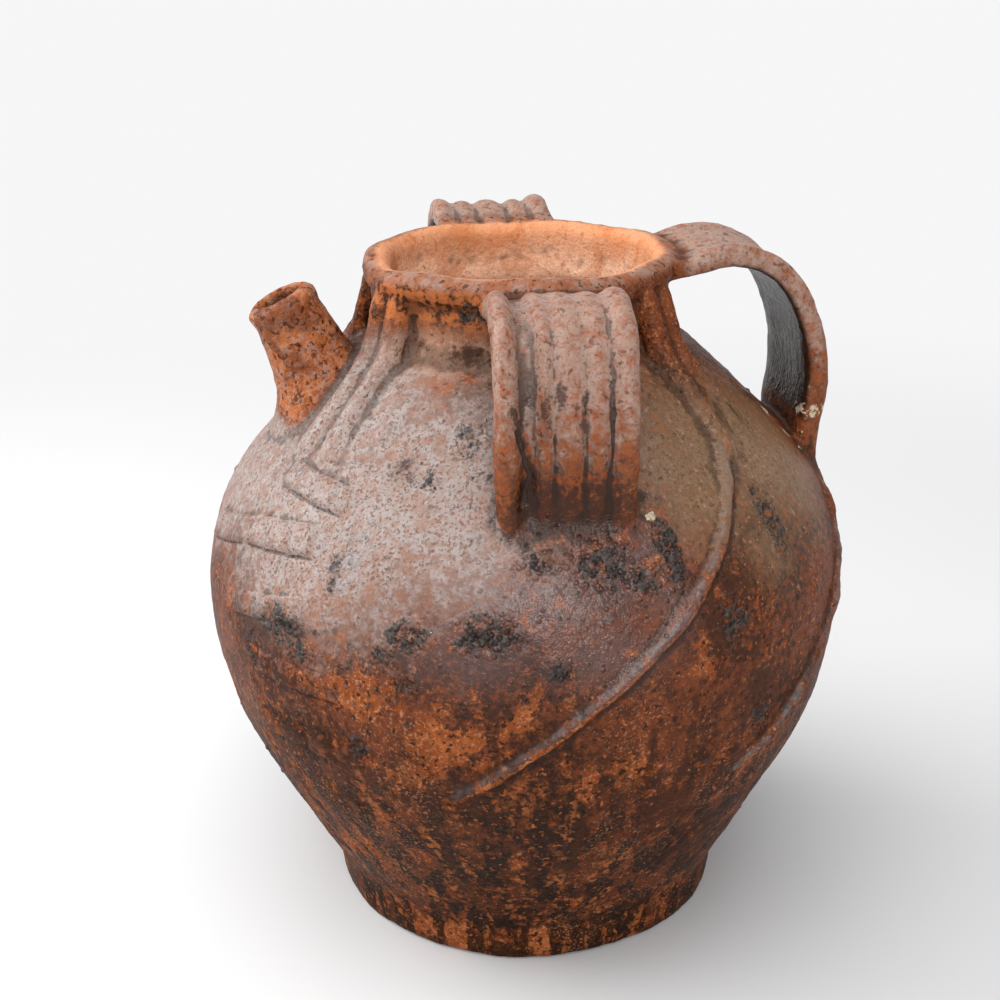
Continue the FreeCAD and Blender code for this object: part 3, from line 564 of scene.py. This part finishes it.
triangles = sum(len(face.vertices) - 2 for face in jug.data.polygons)
finish_modifier(jug, "DECIMATE", ratio=MOST_TRIANGLES / triangles)
places = corners_of(jug)
places[:, 2] = np.clip(places[:, 2], 0, cad_box[1][2])
move_corners(jug, places)
bpy.ops.object.mode_set(mode="EDIT")
bpy.ops.mesh.select_all(action="SELECT")
bpy.ops.mesh.normals_make_consistent(inside=False)
bpy.ops.object.mode_set(mode="OBJECT")
bpy.ops.object.shade_smooth()


# Glaze, ash and wear
# A thin brown lead glaze over orange clay, run down toward the foot and worn off in patches. Ash dulls the
# shoulder to a dusty grey, slag sits in black scabs, and the crests are rubbed back to bare clay.
# Spots are (azimuth, height, half width, half height, strength)
ASHY = (
    (-140, 0.245, 0.085, 0.055, 1.0), (-120, 0.262, 0.070, 0.045, 1.0), (-150, 0.285, 0.050, 0.040, 0.95),
    (-175, 0.250, 0.060, 0.045, 0.9), (-108, 0.262, 0.035, 0.028, 0.8), (-112, 0.232, 0.040, 0.022, 0.6),
    (-60, 0.268, 0.055, 0.040, 0.8), (-35, 0.258, 0.060, 0.045, 0.8), (-50, 0.232, 0.040, 0.035, 0.55),
    (10, 0.270, 0.060, 0.030, 0.6), (60, 0.262, 0.070, 0.035, 0.7), (120, 0.262, 0.080, 0.040, 0.8),
    (165, 0.262, 0.060, 0.040, 0.8),
)
SATIN = (
    (-96, 0.226, 0.046, 0.022, 1.0), (-84, 0.236, 0.032, 0.018, 1.0), (-108, 0.205, 0.034, 0.018, 0.9),
    (-88, 0.203, 0.034, 0.016, 0.9), (-76, 0.222, 0.014, 0.020, 0.8), (85, 0.226, 0.046, 0.022, 0.9),
)
BARE = (
    (-112, 0.160, 0.018, 0.015, 1.0), (-121, 0.138, 0.012, 0.008, 1.0), (-128.6, 0.175, 0.018, 0.010, 0.9),
    (-100, 0.175, 0.010, 0.007, 0.8), (-94, 0.135, 0.016, 0.012, 0.7), (-81, 0.141, 0.012, 0.012, 0.6),
    (-96, 0.224, 0.006, 0.004, 0.8), (-98.5, 0.252, 0.014, 0.005, 0.8), (-140, 0.218, 0.016, 0.006, 0.7),
    (-72, 0.186, 0.010, 0.010, 0.6), (-104, 0.014, 0.070, 0.012, 1.2), (-150, 0.085, 0.050, 0.040, 0.5),
    (20, 0.160, 0.018, 0.016, 0.9), (75, 0.150, 0.020, 0.014, 0.9), (140, 0.160, 0.018, 0.016, 0.9),
    (-30, 0.150, 0.014, 0.014, 0.7), (-170, 0.140, 0.016, 0.014, 0.8),
)
# Orange lines along the low side of each cordon and at the finger steps
RUBBED = (
    (-46, 0.2758, -114, 0.1194, 0.0016, 1.0), (-12, 0.2246, -60, 0.1178, 0.0016, 1.0),
    (151, 0.2809, 82, 0.1222, 0.0016, 1.0), (-160, 0.190, -160, 0.203, 0.0016, 1.0),
    (-153, 0.197, -152.6, 0.210, 0.0016, 1.0), (-146, 0.203, -146, 0.216, 0.0018, 1.0),
    (-136, 0.206, -135.5, 0.222, 0.0020, 1.0),
)
# Painted grey-blue highlight along the high side of each cordon, and a grey-blue streak down the shoulder
HIGHLIGHT_LINES = (
    (-50, 0.2712, -66, 0.2344, 0.0015, 0.35), (-66, 0.2344, -97, 0.1631, 0.0012, 0.60),
    (-97, 0.1631, -112, 0.1290, 0.0015, 0.35), (-20, 0.2114, -46, 0.1550, 0.0015, 0.4),
    (-46, 0.1550, -60, 0.1228, 0.0016, 0.8), (140, 0.2606, 82, 0.1272, 0.0015, 0.6),
    (-132, 0.2576, -132, 0.2475, 0.0030, 0.6), (-132, 0.2475, -130, 0.2419, 0.0036, 0.7),
    (-130, 0.2419, -132.6, 0.2249, 0.0036, 0.7),
)
# Darker places: painted shadow below the cordons and painted shade in the handle's fold, streaks by its
# foot
SHADOW_AND_STREAKS = (
    (-50, 0.2640, -114, 0.1168, 0.0018, 0.9), (-14, 0.2176, -60, 0.1150, 0.0018, 0.9),
    (-73.5, 0.250, -72.5, 0.230, 0.0040, 0.8), (-101.4, 0.3095, -97.7, 0.278, 0.0016, 1.0),
    (-97.7, 0.278, -99.9, 0.264, 0.0018, 1.0), (-102.5, 0.180, -101.5, 0.150, 0.0012, 0.9),
    (-90, 0.115, -91, 0.062, 0.0030, 0.8), (-84, 0.130, -84, 0.080, 0.0026, 0.7),
    (-79, 0.165, -80, 0.105, 0.0030, 0.8), (-72, 0.175, -73, 0.120, 0.0035, 0.8),
    (-99, 0.090, -99, 0.050, 0.0030, 0.7), (-116, 0.120, -116, 0.070, 0.0030, 0.6),
    (-135, 0.130, -135, 0.080, 0.0030, 0.6), (-60, 0.190, -62, 0.130, 0.0035, 0.7),
)
DARK = (
    (-67, 0.207, 0.012, 0.013, 0.9), (-63, 0.221, 0.010, 0.012, 0.7), (-119, 0.3145, 0.011, 0.007, 0.8),
    (-127, 0.271, 0.009, 0.009, 0.6), (-91.5, 0.260, 0.036, 0.018, 1.0), (90, 0.260, 0.036, 0.018, 1.0),
    (0, 0.236, 0.036, 0.013, 0.9), (-92.8, 0.315, 0.0022, 0.009, 0.9), (-88.7, 0.3044, 0.0022, 0.011, 0.9),
    (-95.7, 0.308, 0.0030, 0.012, 0.8), (-150, 0.192, 0.020, 0.006, 0.7), (-140, 0.200, 0.016, 0.006, 0.7),
    (-75, 0.110, 0.020, 0.030, 0.8), (-58, 0.165, 0.016, 0.022, 0.7), (-62, 0.075, 0.026, 0.030, 0.6),
)
CREAM = (
    (-75.2, 0.2543, 0.0040, 0.0026, 1.0), (-11.2, 0.2642, 0.0070, 0.0040, 1.0),
    (-13, 0.252, 0.002, 0.008, 0.8), (12, 0.250, 0.004, 0.006, 0.8), (104, 0.256, 0.004, 0.004, 0.8),
)
PALE_NECK = (
    (-132, 0.3150, 0.024, 0.0085, 1.0), (-112, 0.3150, 0.016, 0.0085, 0.9), (-65, 0.306, 0.014, 0.006, 0.5),
    (60, 0.309, 0.030, 0.006, 0.8), (120, 0.309, 0.030, 0.006, 0.8),
)


def mark(name, values):
    """Keep one number per corner of the skin, for the glaze to read"""
    layer = jug.data.attributes.new(name, "FLOAT", "POINT")
    layer.data.foreach_set("value", np.clip(values, 0, 1).astype(np.float32))


places = corners_of(jug)
ways = normals_of(jug)
azimuth, radius, proud = polar(places)
height = places[:, 2]
everywhere = np.ones(len(places))
bulge = ((places - soften(jug, places, everywhere, 14)) * ways).sum(axis=1)
hollow_side = smooth_step(-proud, 0.003, 0.006) * (height > 0.005)
tube = (np.abs(places[:, 1]) < 0.034) * smooth_step(-places[:, 0], 0.086, 0.094) * smooth_step(
    height + 0.445 * (places[:, 0] + 0.1212), 0.2700, 0.2780) * smooth_step(proud, 0.001, 0.006)
on_strap = np.zeros(len(places))
outward = (places * ways)[:, :2].sum(axis=1) / np.maximum(radius, 1e-4)
for side in (NEAR_SIDE, FAR_SIDE, REAR_SIDE):
    turn = np.radians(turn_between(azimuth, side))
    beside = 1 - smooth_step(np.abs(np.sin(turn)) * radius, 0.036, 0.039)
    on_strap = np.maximum(on_strap, beside * (np.cos(turn) > 0))
joined = on_strap * smooth_step(proud, 0.003, 0.008) * smooth_step(height, 0.235, 0.245)
# Faces of the handles turned down and in, where the painted shade beneath is laid
under = joined * smooth_step(-outward - 0.6 * ways[:, 2], 0.0, 0.5) * smooth_step(proud, 0.010, 0.016)
off_strap = (1 - joined) * (1 - hollow_side)
wall_face = off_strap * (1 - tube)
neck = wall_face * (radius < 0.084) * smooth_step(height, 0.320, 0.330)
neck *= 1 - smooth_step(height, 0.3435, 0.3475)
mark("crest", 0.5 + bulge / 0.003)
mark("ash", spots(places, ASHY) * wall_face * (1 - neck))
mark("satin", spots(places, SATIN) * wall_face)
mark("bare", np.maximum(spots(places, BARE), 1.6 * lines(places, RUBBED)) * wall_face)
mark("painted_highlight", lines(places, HIGHLIGHT_LINES) * wall_face)
# Dark patches, with painted shadow below the cordons and painted shade in the handle's fold
dark_and_shade = np.maximum(spots(places, DARK), lines(places, SHADOW_AND_STREAKS))
# The crack under each tablet is darkened too, a painted shadow under its edge
mark("dark", np.maximum(dark_and_shade, 0.5 * tablets(places)[1] * wall_face) * (1 - hollow_side) * (1 - tube))
mark("cream", spots(places, CREAM) * (1 - hollow_side))
mark("neck", neck * (0.15 + 0.85 * smooth_step(-np.abs(turn_between(azimuth, -138)), -40, -20)))
mark("pale", spots(places, PALE_NECK) * off_strap)
mark("scab", spots(places, SCABS) * wall_face)
mark("bead", bead_relief(places) * wall_face / 0.0012)
mark("inner", hollow_side)
mark("strap", joined)
mark("under", under)
mark("tube", tube)
mark("lip", smooth_step(height, 0.3435, 0.3475) * (1 - smooth_step(radius, 0.079, 0.083)))

glaze = bpy.data.materials.new("worn_glaze_on_clay")
glaze.use_nodes = True
tree = glaze.node_tree
shader = tree.nodes["Principled BSDF"]
here = tree.nodes.new("ShaderNodeTexCoord").outputs["Object"]


def feed(socket, source):
    """Link a source to a socket, or set it where the source is a plain number or colour"""
    if isinstance(source, bpy.types.NodeSocket):
        tree.links.new(source, socket)
    else:
        socket.default_value = source


def grain(size, depth, rough=0.55, twist=0.0, stretch=(1, 1, 1), shift=0.0):
    """Cloudy pattern with grains of a size in metres"""
    spread = tree.nodes.new("ShaderNodeMapping")
    feed(spread.inputs["Vector"], here)
    spread.inputs["Location"].default_value = (shift, shift * 0.7, shift * 1.3)
    spread.inputs["Scale"].default_value = stretch
    cloud = tree.nodes.new("ShaderNodeTexNoise")
    feed(cloud.inputs["Vector"], spread.outputs["Vector"])
    cloud.inputs["Scale"].default_value = 1 / size
    cloud.inputs["Detail"].default_value = depth
    cloud.inputs["Roughness"].default_value = rough
    cloud.inputs["Distortion"].default_value = twist
    return cloud.outputs["Fac"]


def cells(size, shift=0.0):
    """Distance from the middle of pebble-like cells"""
    spread = tree.nodes.new("ShaderNodeMapping")
    feed(spread.inputs["Vector"], here)
    spread.inputs["Location"].default_value = (shift, shift, shift)
    pebbles = tree.nodes.new("ShaderNodeTexVoronoi")
    feed(pebbles.inputs["Vector"], spread.outputs["Vector"])
    pebbles.inputs["Scale"].default_value = 1 / size
    return pebbles.outputs["Distance"]


def amount(name):
    """One of the numbers kept on the skin"""
    kept = tree.nodes.new("ShaderNodeAttribute")
    kept.attribute_name = name
    return kept.outputs["Fac"]


def between(value, low, high):
    """0 below the low mark and 1 above the high one, smooth between"""
    span = tree.nodes.new("ShaderNodeMapRange")
    span.interpolation_type = "SMOOTHSTEP"
    feed(span.inputs["Value"], value)
    span.inputs["From Min"].default_value = low
    span.inputs["From Max"].default_value = high
    return span.outputs["Result"]


def reckon(kind, first, second=0.5, third=0.0):
    sum_node = tree.nodes.new("ShaderNodeMath")
    sum_node.operation = kind
    for socket, source in zip(sum_node.inputs, (first, second, third)):
        feed(socket, source)
    return sum_node.outputs["Value"]


def over(cover, below, above):
    """Lay one colour over another where the cover is"""
    mix = tree.nodes.new("ShaderNodeMix")
    mix.data_type = "RGBA"
    for socket, source in ((mix.inputs[0], cover), (mix.inputs[6], below), (mix.inputs[7], above)):
        feed(socket, source)
    return mix.outputs[2]


def part_way(cover, below, above):
    """Slide one number toward another where the cover is"""
    mix = tree.nodes.new("ShaderNodeMix")
    for socket, source in ((mix.inputs[0], cover), (mix.inputs[2], below), (mix.inputs[3], above)):
        feed(socket, source)
    return mix.outputs[0]


def level(low, high):
    """0 below a height and 1 above another"""
    split = tree.nodes.new("ShaderNodeSeparateXYZ")
    feed(split.inputs["Vector"], here)
    return between(split.outputs["Z"], low, high)


BRIGHT_CLAY = (0.50, 0.150, 0.036, 1)
ORANGE_CLAY = (0.38, 0.112, 0.032, 1)
SIENNA = (0.225, 0.055, 0.014, 1)
RUSSET = (0.128, 0.032, 0.010, 1)
DEEP_BROWN = (0.044, 0.013, 0.005, 1)
RUN_BLACK = (0.015, 0.007, 0.004, 1)
PURPLE_BROWN = (0.080, 0.038, 0.032, 1)
PALE_CLAY = (0.50, 0.28, 0.18, 1)
OCHRE_WITH_PAINTED_LIGHT = (0.94, 0.57, 0.38, 1)
DUST = (0.385, 0.262, 0.210, 1)
ASH_GREY = (0.355, 0.305, 0.285, 1)
ASH_PINK = (0.325, 0.230, 0.190, 1)
ASH_OLIVE = (0.215, 0.135, 0.075, 1)
HIGHLIGHT_GREY = (0.20, 0.185, 0.185, 1)
SCAB_GREY = (0.055, 0.049, 0.044, 1)
SCAB_BLACK = (0.014, 0.012, 0.011, 1)
CREAM_CRUST = (0.62, 0.54, 0.38, 1)


def scaled(value, factor, middle=0.0):
    """A pattern taken about its middle and made stronger or weaker"""
    return reckon("MULTIPLY", reckon("SUBTRACT", value, middle), factor)


def total(*values):
    result = values[0]
    for value in values[1:]:
        result = reckon("ADD", result, value)
    return result


def both(first, second):
    return reckon("MULTIPLY", first, second)


def opposite(value):
    return reckon("SUBTRACT", 1.0, value)


broad = grain(0.060, 3, 0.6, 0.4)
patchy = grain(0.021, 5, 0.62, 0.6, shift=0.31)
dapple = grain(0.0075, 4, 0.65, 0.3, shift=0.43)
fine = grain(0.0040, 3, 0.62, shift=0.77)
sandy = grain(0.0015, 2, 0.6, shift=0.13)
speck = grain(0.0026, 2, 0.5, shift=0.55)
pit = grain(0.0034, 2, 0.55, shift=0.91)
crest, ash, satin, bare = amount("crest"), amount("ash"), amount("satin"), amount("bare")
scab, bead, dark, painted_highlight = amount("scab"), amount("bead"), amount("dark"), amount("painted_highlight")
inner, joined_on, spout_on, lip = amount("inner"), amount("strap"), amount("tube"), amount("lip")
low_wall = opposite(level(0.090, 0.190))
worn = between(crest, 0.55, 0.66)

# Bare clay, and brown glaze where it still covers it
clay = over(between(dapple, 0.42, 0.60), SIENNA, ORANGE_CLAY)
clay = over(scaled(between(sandy, 0.52, 0.66), 0.40), clay, PALE_CLAY)
clay = over(scaled(between(pit, 0.54, 0.64), 0.7), clay, RUSSET)
brown = over(between(total(scaled(broad, 0.6), scaled(patchy, 0.4)), 0.44, 0.56), DEEP_BROWN, RUSSET)
brown = over(scaled(between(fine, 0.46, 0.64), 0.55), brown, SIENNA)
brown = over(scaled(low_wall, 0.45), brown, DEEP_BROWN)
kept_glaze = total(scaled(patchy, 0.60), scaled(dapple, 0.75), scaled(fine, 0.25), scaled(bare, -0.23),
                   scaled(satin, 0.05))
glazed = between(kept_glaze, 0.635, 0.745)
skin = over(glazed, clay, brown)

# Black runs and orange streaks down the low wall, then flecks and pits all over
runs = grain(0.011, 3, 0.55, 0.2, stretch=(1, 1, 0.08), shift=0.2)
run_cover = both(both(between(runs, 0.45, 0.53), low_wall), between(dapple, 0.30, 0.48))
skin = over(scaled(run_cover, 0.9), skin, RUN_BLACK)
glow_runs = grain(0.010, 3, 0.6, 0.3, stretch=(1, 1, 0.12), shift=0.5)
skin = over(both(both(between(glow_runs, 0.55, 0.66), low_wall), scaled(between(fine, 0.42, 0.56), 0.7)),
            skin, ORANGE_CLAY)
flecks = both(between(speck, 0.60, 0.70), between(dapple, 0.42, 0.58))
skin = over(scaled(flecks, 0.6), skin, BRIGHT_CLAY)
skin = over(scaled(between(pit, 0.60, 0.67), 0.8), skin, RUN_BLACK)
skin = over(both(between(sandy, 0.56, 0.68), scaled(between(broad, 0.40, 0.60), 0.35)), skin, PALE_CLAY)
skin = over(both(scaled(satin, 0.85), between(dapple, 0.34, 0.50)), skin, PURPLE_BROWN)

# Ash on the shoulder, olive toward the rear
split = tree.nodes.new("ShaderNodeSeparateXYZ")
feed(split.inputs["Vector"], here)
ash_colour = over(between(total(scaled(dapple, 0.5), scaled(fine, 0.5)), 0.43, 0.57), ASH_PINK, ASH_GREY)
ash_colour = over(between(split.outputs["X"], -0.02, 0.06), ash_colour, ASH_OLIVE)
ash_cover = total(ash, scaled(fine, 0.9, 0.5), scaled(dapple, 1.0, 0.5), scaled(patchy, 1.0, 0.5))
ash_cover = total(scaled(between(ash_cover, 0.20, 1.00), 0.45), scaled(between(ash, 0.20, 0.75), 0.42))
skin = over(ash_cover, skin, ash_colour)
skin = over(both(scaled(between(sandy, 0.52, 0.64), 0.85), ash_cover), skin, RUSSET)
skin = over(both(scaled(between(speck, 0.60, 0.70), 0.6), ash_cover), skin, ASH_PINK)

# Burnt neck, with pale dust at its root
burnt = over(between(total(scaled(dapple, 0.6), scaled(fine, 0.4)), 0.47, 0.58), ORANGE_CLAY, DEEP_BROWN)
burnt = over(scaled(between(sandy, 0.50, 0.64), 0.4), burnt, SIENNA)
skin = over(amount("neck"), skin, burnt)
pale_cover = both(scaled(amount("pale"), 0.9), between(dapple, 0.32, 0.50))
skin = over(pale_cover, skin, PALE_CLAY)

# Handles, dust with a painted sheen on top, painted shade in the grooves and beneath
strap_skin = over(between(total(scaled(dapple, 0.6), scaled(fine, 0.4)), 0.42, 0.56), SIENNA, DEEP_BROWN)
strap_skin = over(both(worn, scaled(between(dapple, 0.40, 0.58), 0.50)), strap_skin, ORANGE_CLAY)
# Dust, partly a painted sheen, heavier toward the top of each handle
dust_and_sheen = total(scaled(fine, 1.6, 0.5), scaled(dapple, 1.3, 0.5), scaled(level(0.254, 0.322), 0.84),
             scaled(crest, -0.5, 0.5))
dust_and_sheen = scaled(between(dust_and_sheen, 0.10, 0.95), 0.76)
strap_skin = over(dust_and_sheen, strap_skin, DUST)
strap_skin = over(scaled(between(sandy, 0.54, 0.68), 0.5), strap_skin, RUSSET)
strap_skin = over(scaled(between(pit, 0.60, 0.67), 0.6), strap_skin, DEEP_BROWN)
# Painted shade: the grooves of the handles' lower part are laid near black
groove_shade = both(opposite(between(crest, 0.28, 0.41)), opposite(level(0.300, 0.345)))
strap_skin = over(scaled(groove_shade, 0.7), strap_skin, RUN_BLACK)
skin = over(joined_on, skin, strap_skin)
# Painted shade under the handles
painted_underside_shade = amount("under")
skin = over(scaled(painted_underside_shade, 0.92), skin, RUN_BLACK)

# Spout, lip and inside, where the clay was hardly glazed
tube_skin = over(between(dapple, 0.42, 0.60), ORANGE_CLAY, SIENNA)
tube_skin = over(scaled(between(fine, 0.44, 0.60), 0.35), tube_skin, DUST)
tube_skin = over(scaled(between(sandy, 0.52, 0.68), 0.35), tube_skin, PALE_CLAY)
tube_skin = over(scaled(between(patchy, 0.50, 0.62), 0.6), tube_skin, RUSSET)
tube_skin = over(scaled(between(pit, 0.56, 0.64), 0.8), tube_skin, DEEP_BROWN)
skin = over(spout_on, skin, tube_skin)

lip_skin = over(scaled(between(dapple, 0.40, 0.58), 0.8), DUST, ORANGE_CLAY)
lip_skin = over(scaled(between(fine, 0.50, 0.66), 0.4), lip_skin, PALE_CLAY)
lip_wear = between(total(scaled(patchy, 0.5), scaled(fine, 0.5)), 0.46, 0.58)
lip_skin = over(scaled(lip_wear, 0.6), lip_skin, SIENNA)
lip_skin = over(0.36, lip_skin, RUSSET)
lip_skin = over(scaled(between(pit, 0.58, 0.65), 0.8), lip_skin, DEEP_BROWN)
skin = over(lip, skin, lip_skin)
# Ochre clay inside, painted lighter than the clay itself for the light that falls into the mouth
inner_skin = over(scaled(between(patchy, 0.42, 0.62), 0.55), OCHRE_WITH_PAINTED_LIGHT, BRIGHT_CLAY)
inner_skin = over(scaled(level(0.326, 0.346), 0.65), inner_skin, BRIGHT_CLAY)
inner_skin = over(scaled(between(sandy, 0.50, 0.66), 0.35), inner_skin, BRIGHT_CLAY)
inner_skin = over(scaled(between(pit, 0.60, 0.68), 0.35), inner_skin, SIENNA)
skin = over(inner, skin, inner_skin)

# Dark patches and painted shade, painted highlights, scabs and slag beads, painted crease shade, cream
# crust
dark_cover = total(dark, scaled(fine, 1.6, 0.5), scaled(dapple, 1.6, 0.5))
dark_cover = both(between(dark_cover, 0.25, 0.75), between(dark, 0.02, 0.20))
skin = over(scaled(dark_cover, 0.85), skin, DEEP_BROWN)
# Painted highlight: grey-blue laid along the high side of the cordons
skin = over(both(scaled(painted_highlight, 0.8), between(dapple, 0.38, 0.54)), skin, HIGHLIGHT_GREY)
scab_cover = total(scaled(scab, 0.75), scaled(fine, 1.5, 0.5), scaled(dapple, 1.2, 0.5))
scab_cover = both(between(scab_cover, 0.46, 0.62), between(scab, 0.05, 0.25))
crumbly = between(total(scaled(fine, 0.4), scaled(sandy, 0.6)), 0.46, 0.60)
scab_colour = over(crumbly, SCAB_BLACK, SCAB_GREY)
skin = over(scaled(scab_cover, 0.85), skin, scab_colour)
skin = over(scaled(between(bead, 0.25, 0.7), 0.6), skin, SCAB_GREY)
# Painted shade darkens the creases and seams
crease_shade = opposite(between(crest, 0.30, 0.44))
skin = over(scaled(crease_shade, 0.55), skin, RUN_BLACK)
cream_cover = total(amount("cream"), scaled(fine, 1.8, 0.5), scaled(dapple, 1.2, 0.5))
skin = over(scaled(between(cream_cover, 0.55, 0.75), 0.85), skin, CREAM_CRUST)
feed(shader.inputs["Base Color"], skin)

# Gloss comes nearly all from the coat, so that dust and bare clay stay dull
dullness = total(part_way(glazed, 0.75, 0.55), scaled(sandy, 0.3, 0.5))
feed(shader.inputs["Roughness"], dullness)
shader.inputs["Specular IOR Level"].default_value = 0.04
shader.inputs["Coat Roughness"].default_value = 0.20
gloss = part_way(glazed, 0.04, 0.18)
gloss = part_way(ash_cover, gloss, 0.26)
gloss = part_way(satin, gloss, 1.0)
gloss = part_way(joined_on, gloss, 0.35)
gloss = part_way(painted_underside_shade, gloss, 0.60)
gloss = part_way(scab_cover, gloss, 0.35)
gloss = part_way(painted_highlight, gloss, 0.7)
gloss = part_way(inner, gloss, 0.0)
gloss = both(gloss, part_way(low_wall, 1.0, 0.35))
feed(shader.inputs["Coat Weight"], gloss)

# Small relief: sand, blisters in the glaze and crumbs on the scabs
warts = both(opposite(between(cells(0.0042, 0.4), 0.10, 0.34)), between(dapple, 0.47, 0.58))
warts = both(warts, opposite(total(joined_on, inner)))
crumbs = both(opposite(between(cells(0.0030, 0.9), 0.15, 0.60)), between(scab, 0.25, 0.60))
rise = total(scaled(sandy, 0.40), scaled(fine, 0.9), scaled(warts, 1.1), scaled(crumbs, 1.6))
bump = tree.nodes.new("ShaderNodeBump")
bump.inputs["Strength"].default_value = 0.75
bump.inputs["Distance"].default_value = 0.0013
feed(bump.inputs["Height"], rise)
feed(shader.inputs["Normal"], bump.outputs["Normal"])
feed(shader.inputs["Coat Normal"], bump.outputs["Normal"])

jug.data.materials.clear()
jug.data.materials.append(glaze)

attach(jug, "root")
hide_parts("jug")


# Floor, light and camera
# A plain pale floor that turns to paper white away from the jug, soft light from a big window behind on
# the left, from the sky and from behind the camera, and the camera where the picture was taken from.
PAPER = (0.925, 0.925, 0.935, 1)
PAPER_NEAR, PAPER_FAR = 0.30, 1.30


def seen_by_eye():
    """1 for rays from the camera, also by way of a mirror or glass, so that the paper lights nothing"""
    path = tree.nodes.new("ShaderNodeLightPath").outputs
    seen_by = reckon("MAXIMUM", path["Is Camera Ray"], path["Is Glossy Ray"])
    return reckon("MAXIMUM", seen_by, path["Is Transmission Ray"])


bpy.ops.object.select_all(action="DESELECT")
bpy.ops.mesh.primitive_plane_add(size=16, location=(0, 0, 0))
floor = bpy.context.active_object
floor.name = "floor"
paper = bpy.data.materials.new("pale_floor")
paper.use_nodes = True
tree = paper.node_tree
shader = tree.nodes["Principled BSDF"]
shader.inputs["Base Color"].default_value = (0.70, 0.70, 0.70, 1)
shader.inputs["Roughness"].default_value = 0.9
glow = tree.nodes.new("ShaderNodeEmission")
glow.inputs["Color"].default_value = PAPER
glow.inputs["Strength"].default_value = 1.0
place = tree.nodes.new("ShaderNodeTexCoord").outputs["Object"]
distance = tree.nodes.new("ShaderNodeVectorMath")
distance.operation = "LENGTH"
feed(distance.inputs[0], place)
far_off = reckon("MULTIPLY", between(distance.outputs["Value"], PAPER_NEAR, PAPER_FAR), seen_by_eye())
blend = tree.nodes.new("ShaderNodeMixShader")
feed(blend.inputs[0], far_off)
feed(blend.inputs[1], shader.outputs["BSDF"])
feed(blend.inputs[2], glow.outputs["Emission"])
feed(tree.nodes["Material Output"].inputs["Surface"], blend.outputs["Shader"])
floor.data.materials.append(paper)


def soft_light(name, place, target, size, power):
    """A square lamp at a place, facing a target"""
    bpy.ops.object.light_add(type="AREA", location=place)
    lamp = bpy.context.active_object
    lamp.name = name
    lamp.data.size = size
    lamp.data.energy = power
    away = Vector(place) - Vector(target)
    lamp.rotation_euler = away.to_track_quat("Z", "Y").to_euler()


MIDDLE = (0, 0, 0.18)
soft_light("window", (-1.7, 0.7, 1.15), MIDDLE, 1.6, 42)
soft_light("sky", (-0.3, -0.5, 2.2), MIDDLE, 2.0, 36)
soft_light("front", (-0.2, -2.4, 1.25), MIDDLE, 1.1, 27)

world = bpy.data.worlds.new("pale_room")
bpy.context.scene.world = world
world.use_nodes = True
tree = world.node_tree
room_light = tree.nodes["Background"]
room_light.inputs["Color"].default_value = (0.96, 0.97, 1.0, 1)
room_light.inputs["Strength"].default_value = 0.40
backdrop = tree.nodes.new("ShaderNodeBackground")
backdrop.inputs["Color"].default_value = PAPER
backdrop.inputs["Strength"].default_value = 1.0
blend = tree.nodes.new("ShaderNodeMixShader")
feed(blend.inputs[0], seen_by_eye())
feed(blend.inputs[1], room_light.outputs["Background"])
feed(blend.inputs[2], backdrop.outputs["Background"])
feed(tree.nodes["World Output"].inputs["Surface"], blend.outputs["Shader"])

bpy.ops.object.camera_add(location=(-0.13467, -0.76375, 0.51259),
                          rotation=[math.radians(turn) for turn in (69.0164, 0.9495, -9.4859)])
camera = bpy.context.active_object
camera.data.lens = 56.373
camera.data.sensor_width = 36
camera.data.clip_start = 0.01
bpy.context.scene.camera = camera
bpy.context.scene.view_settings.view_transform = "Standard"
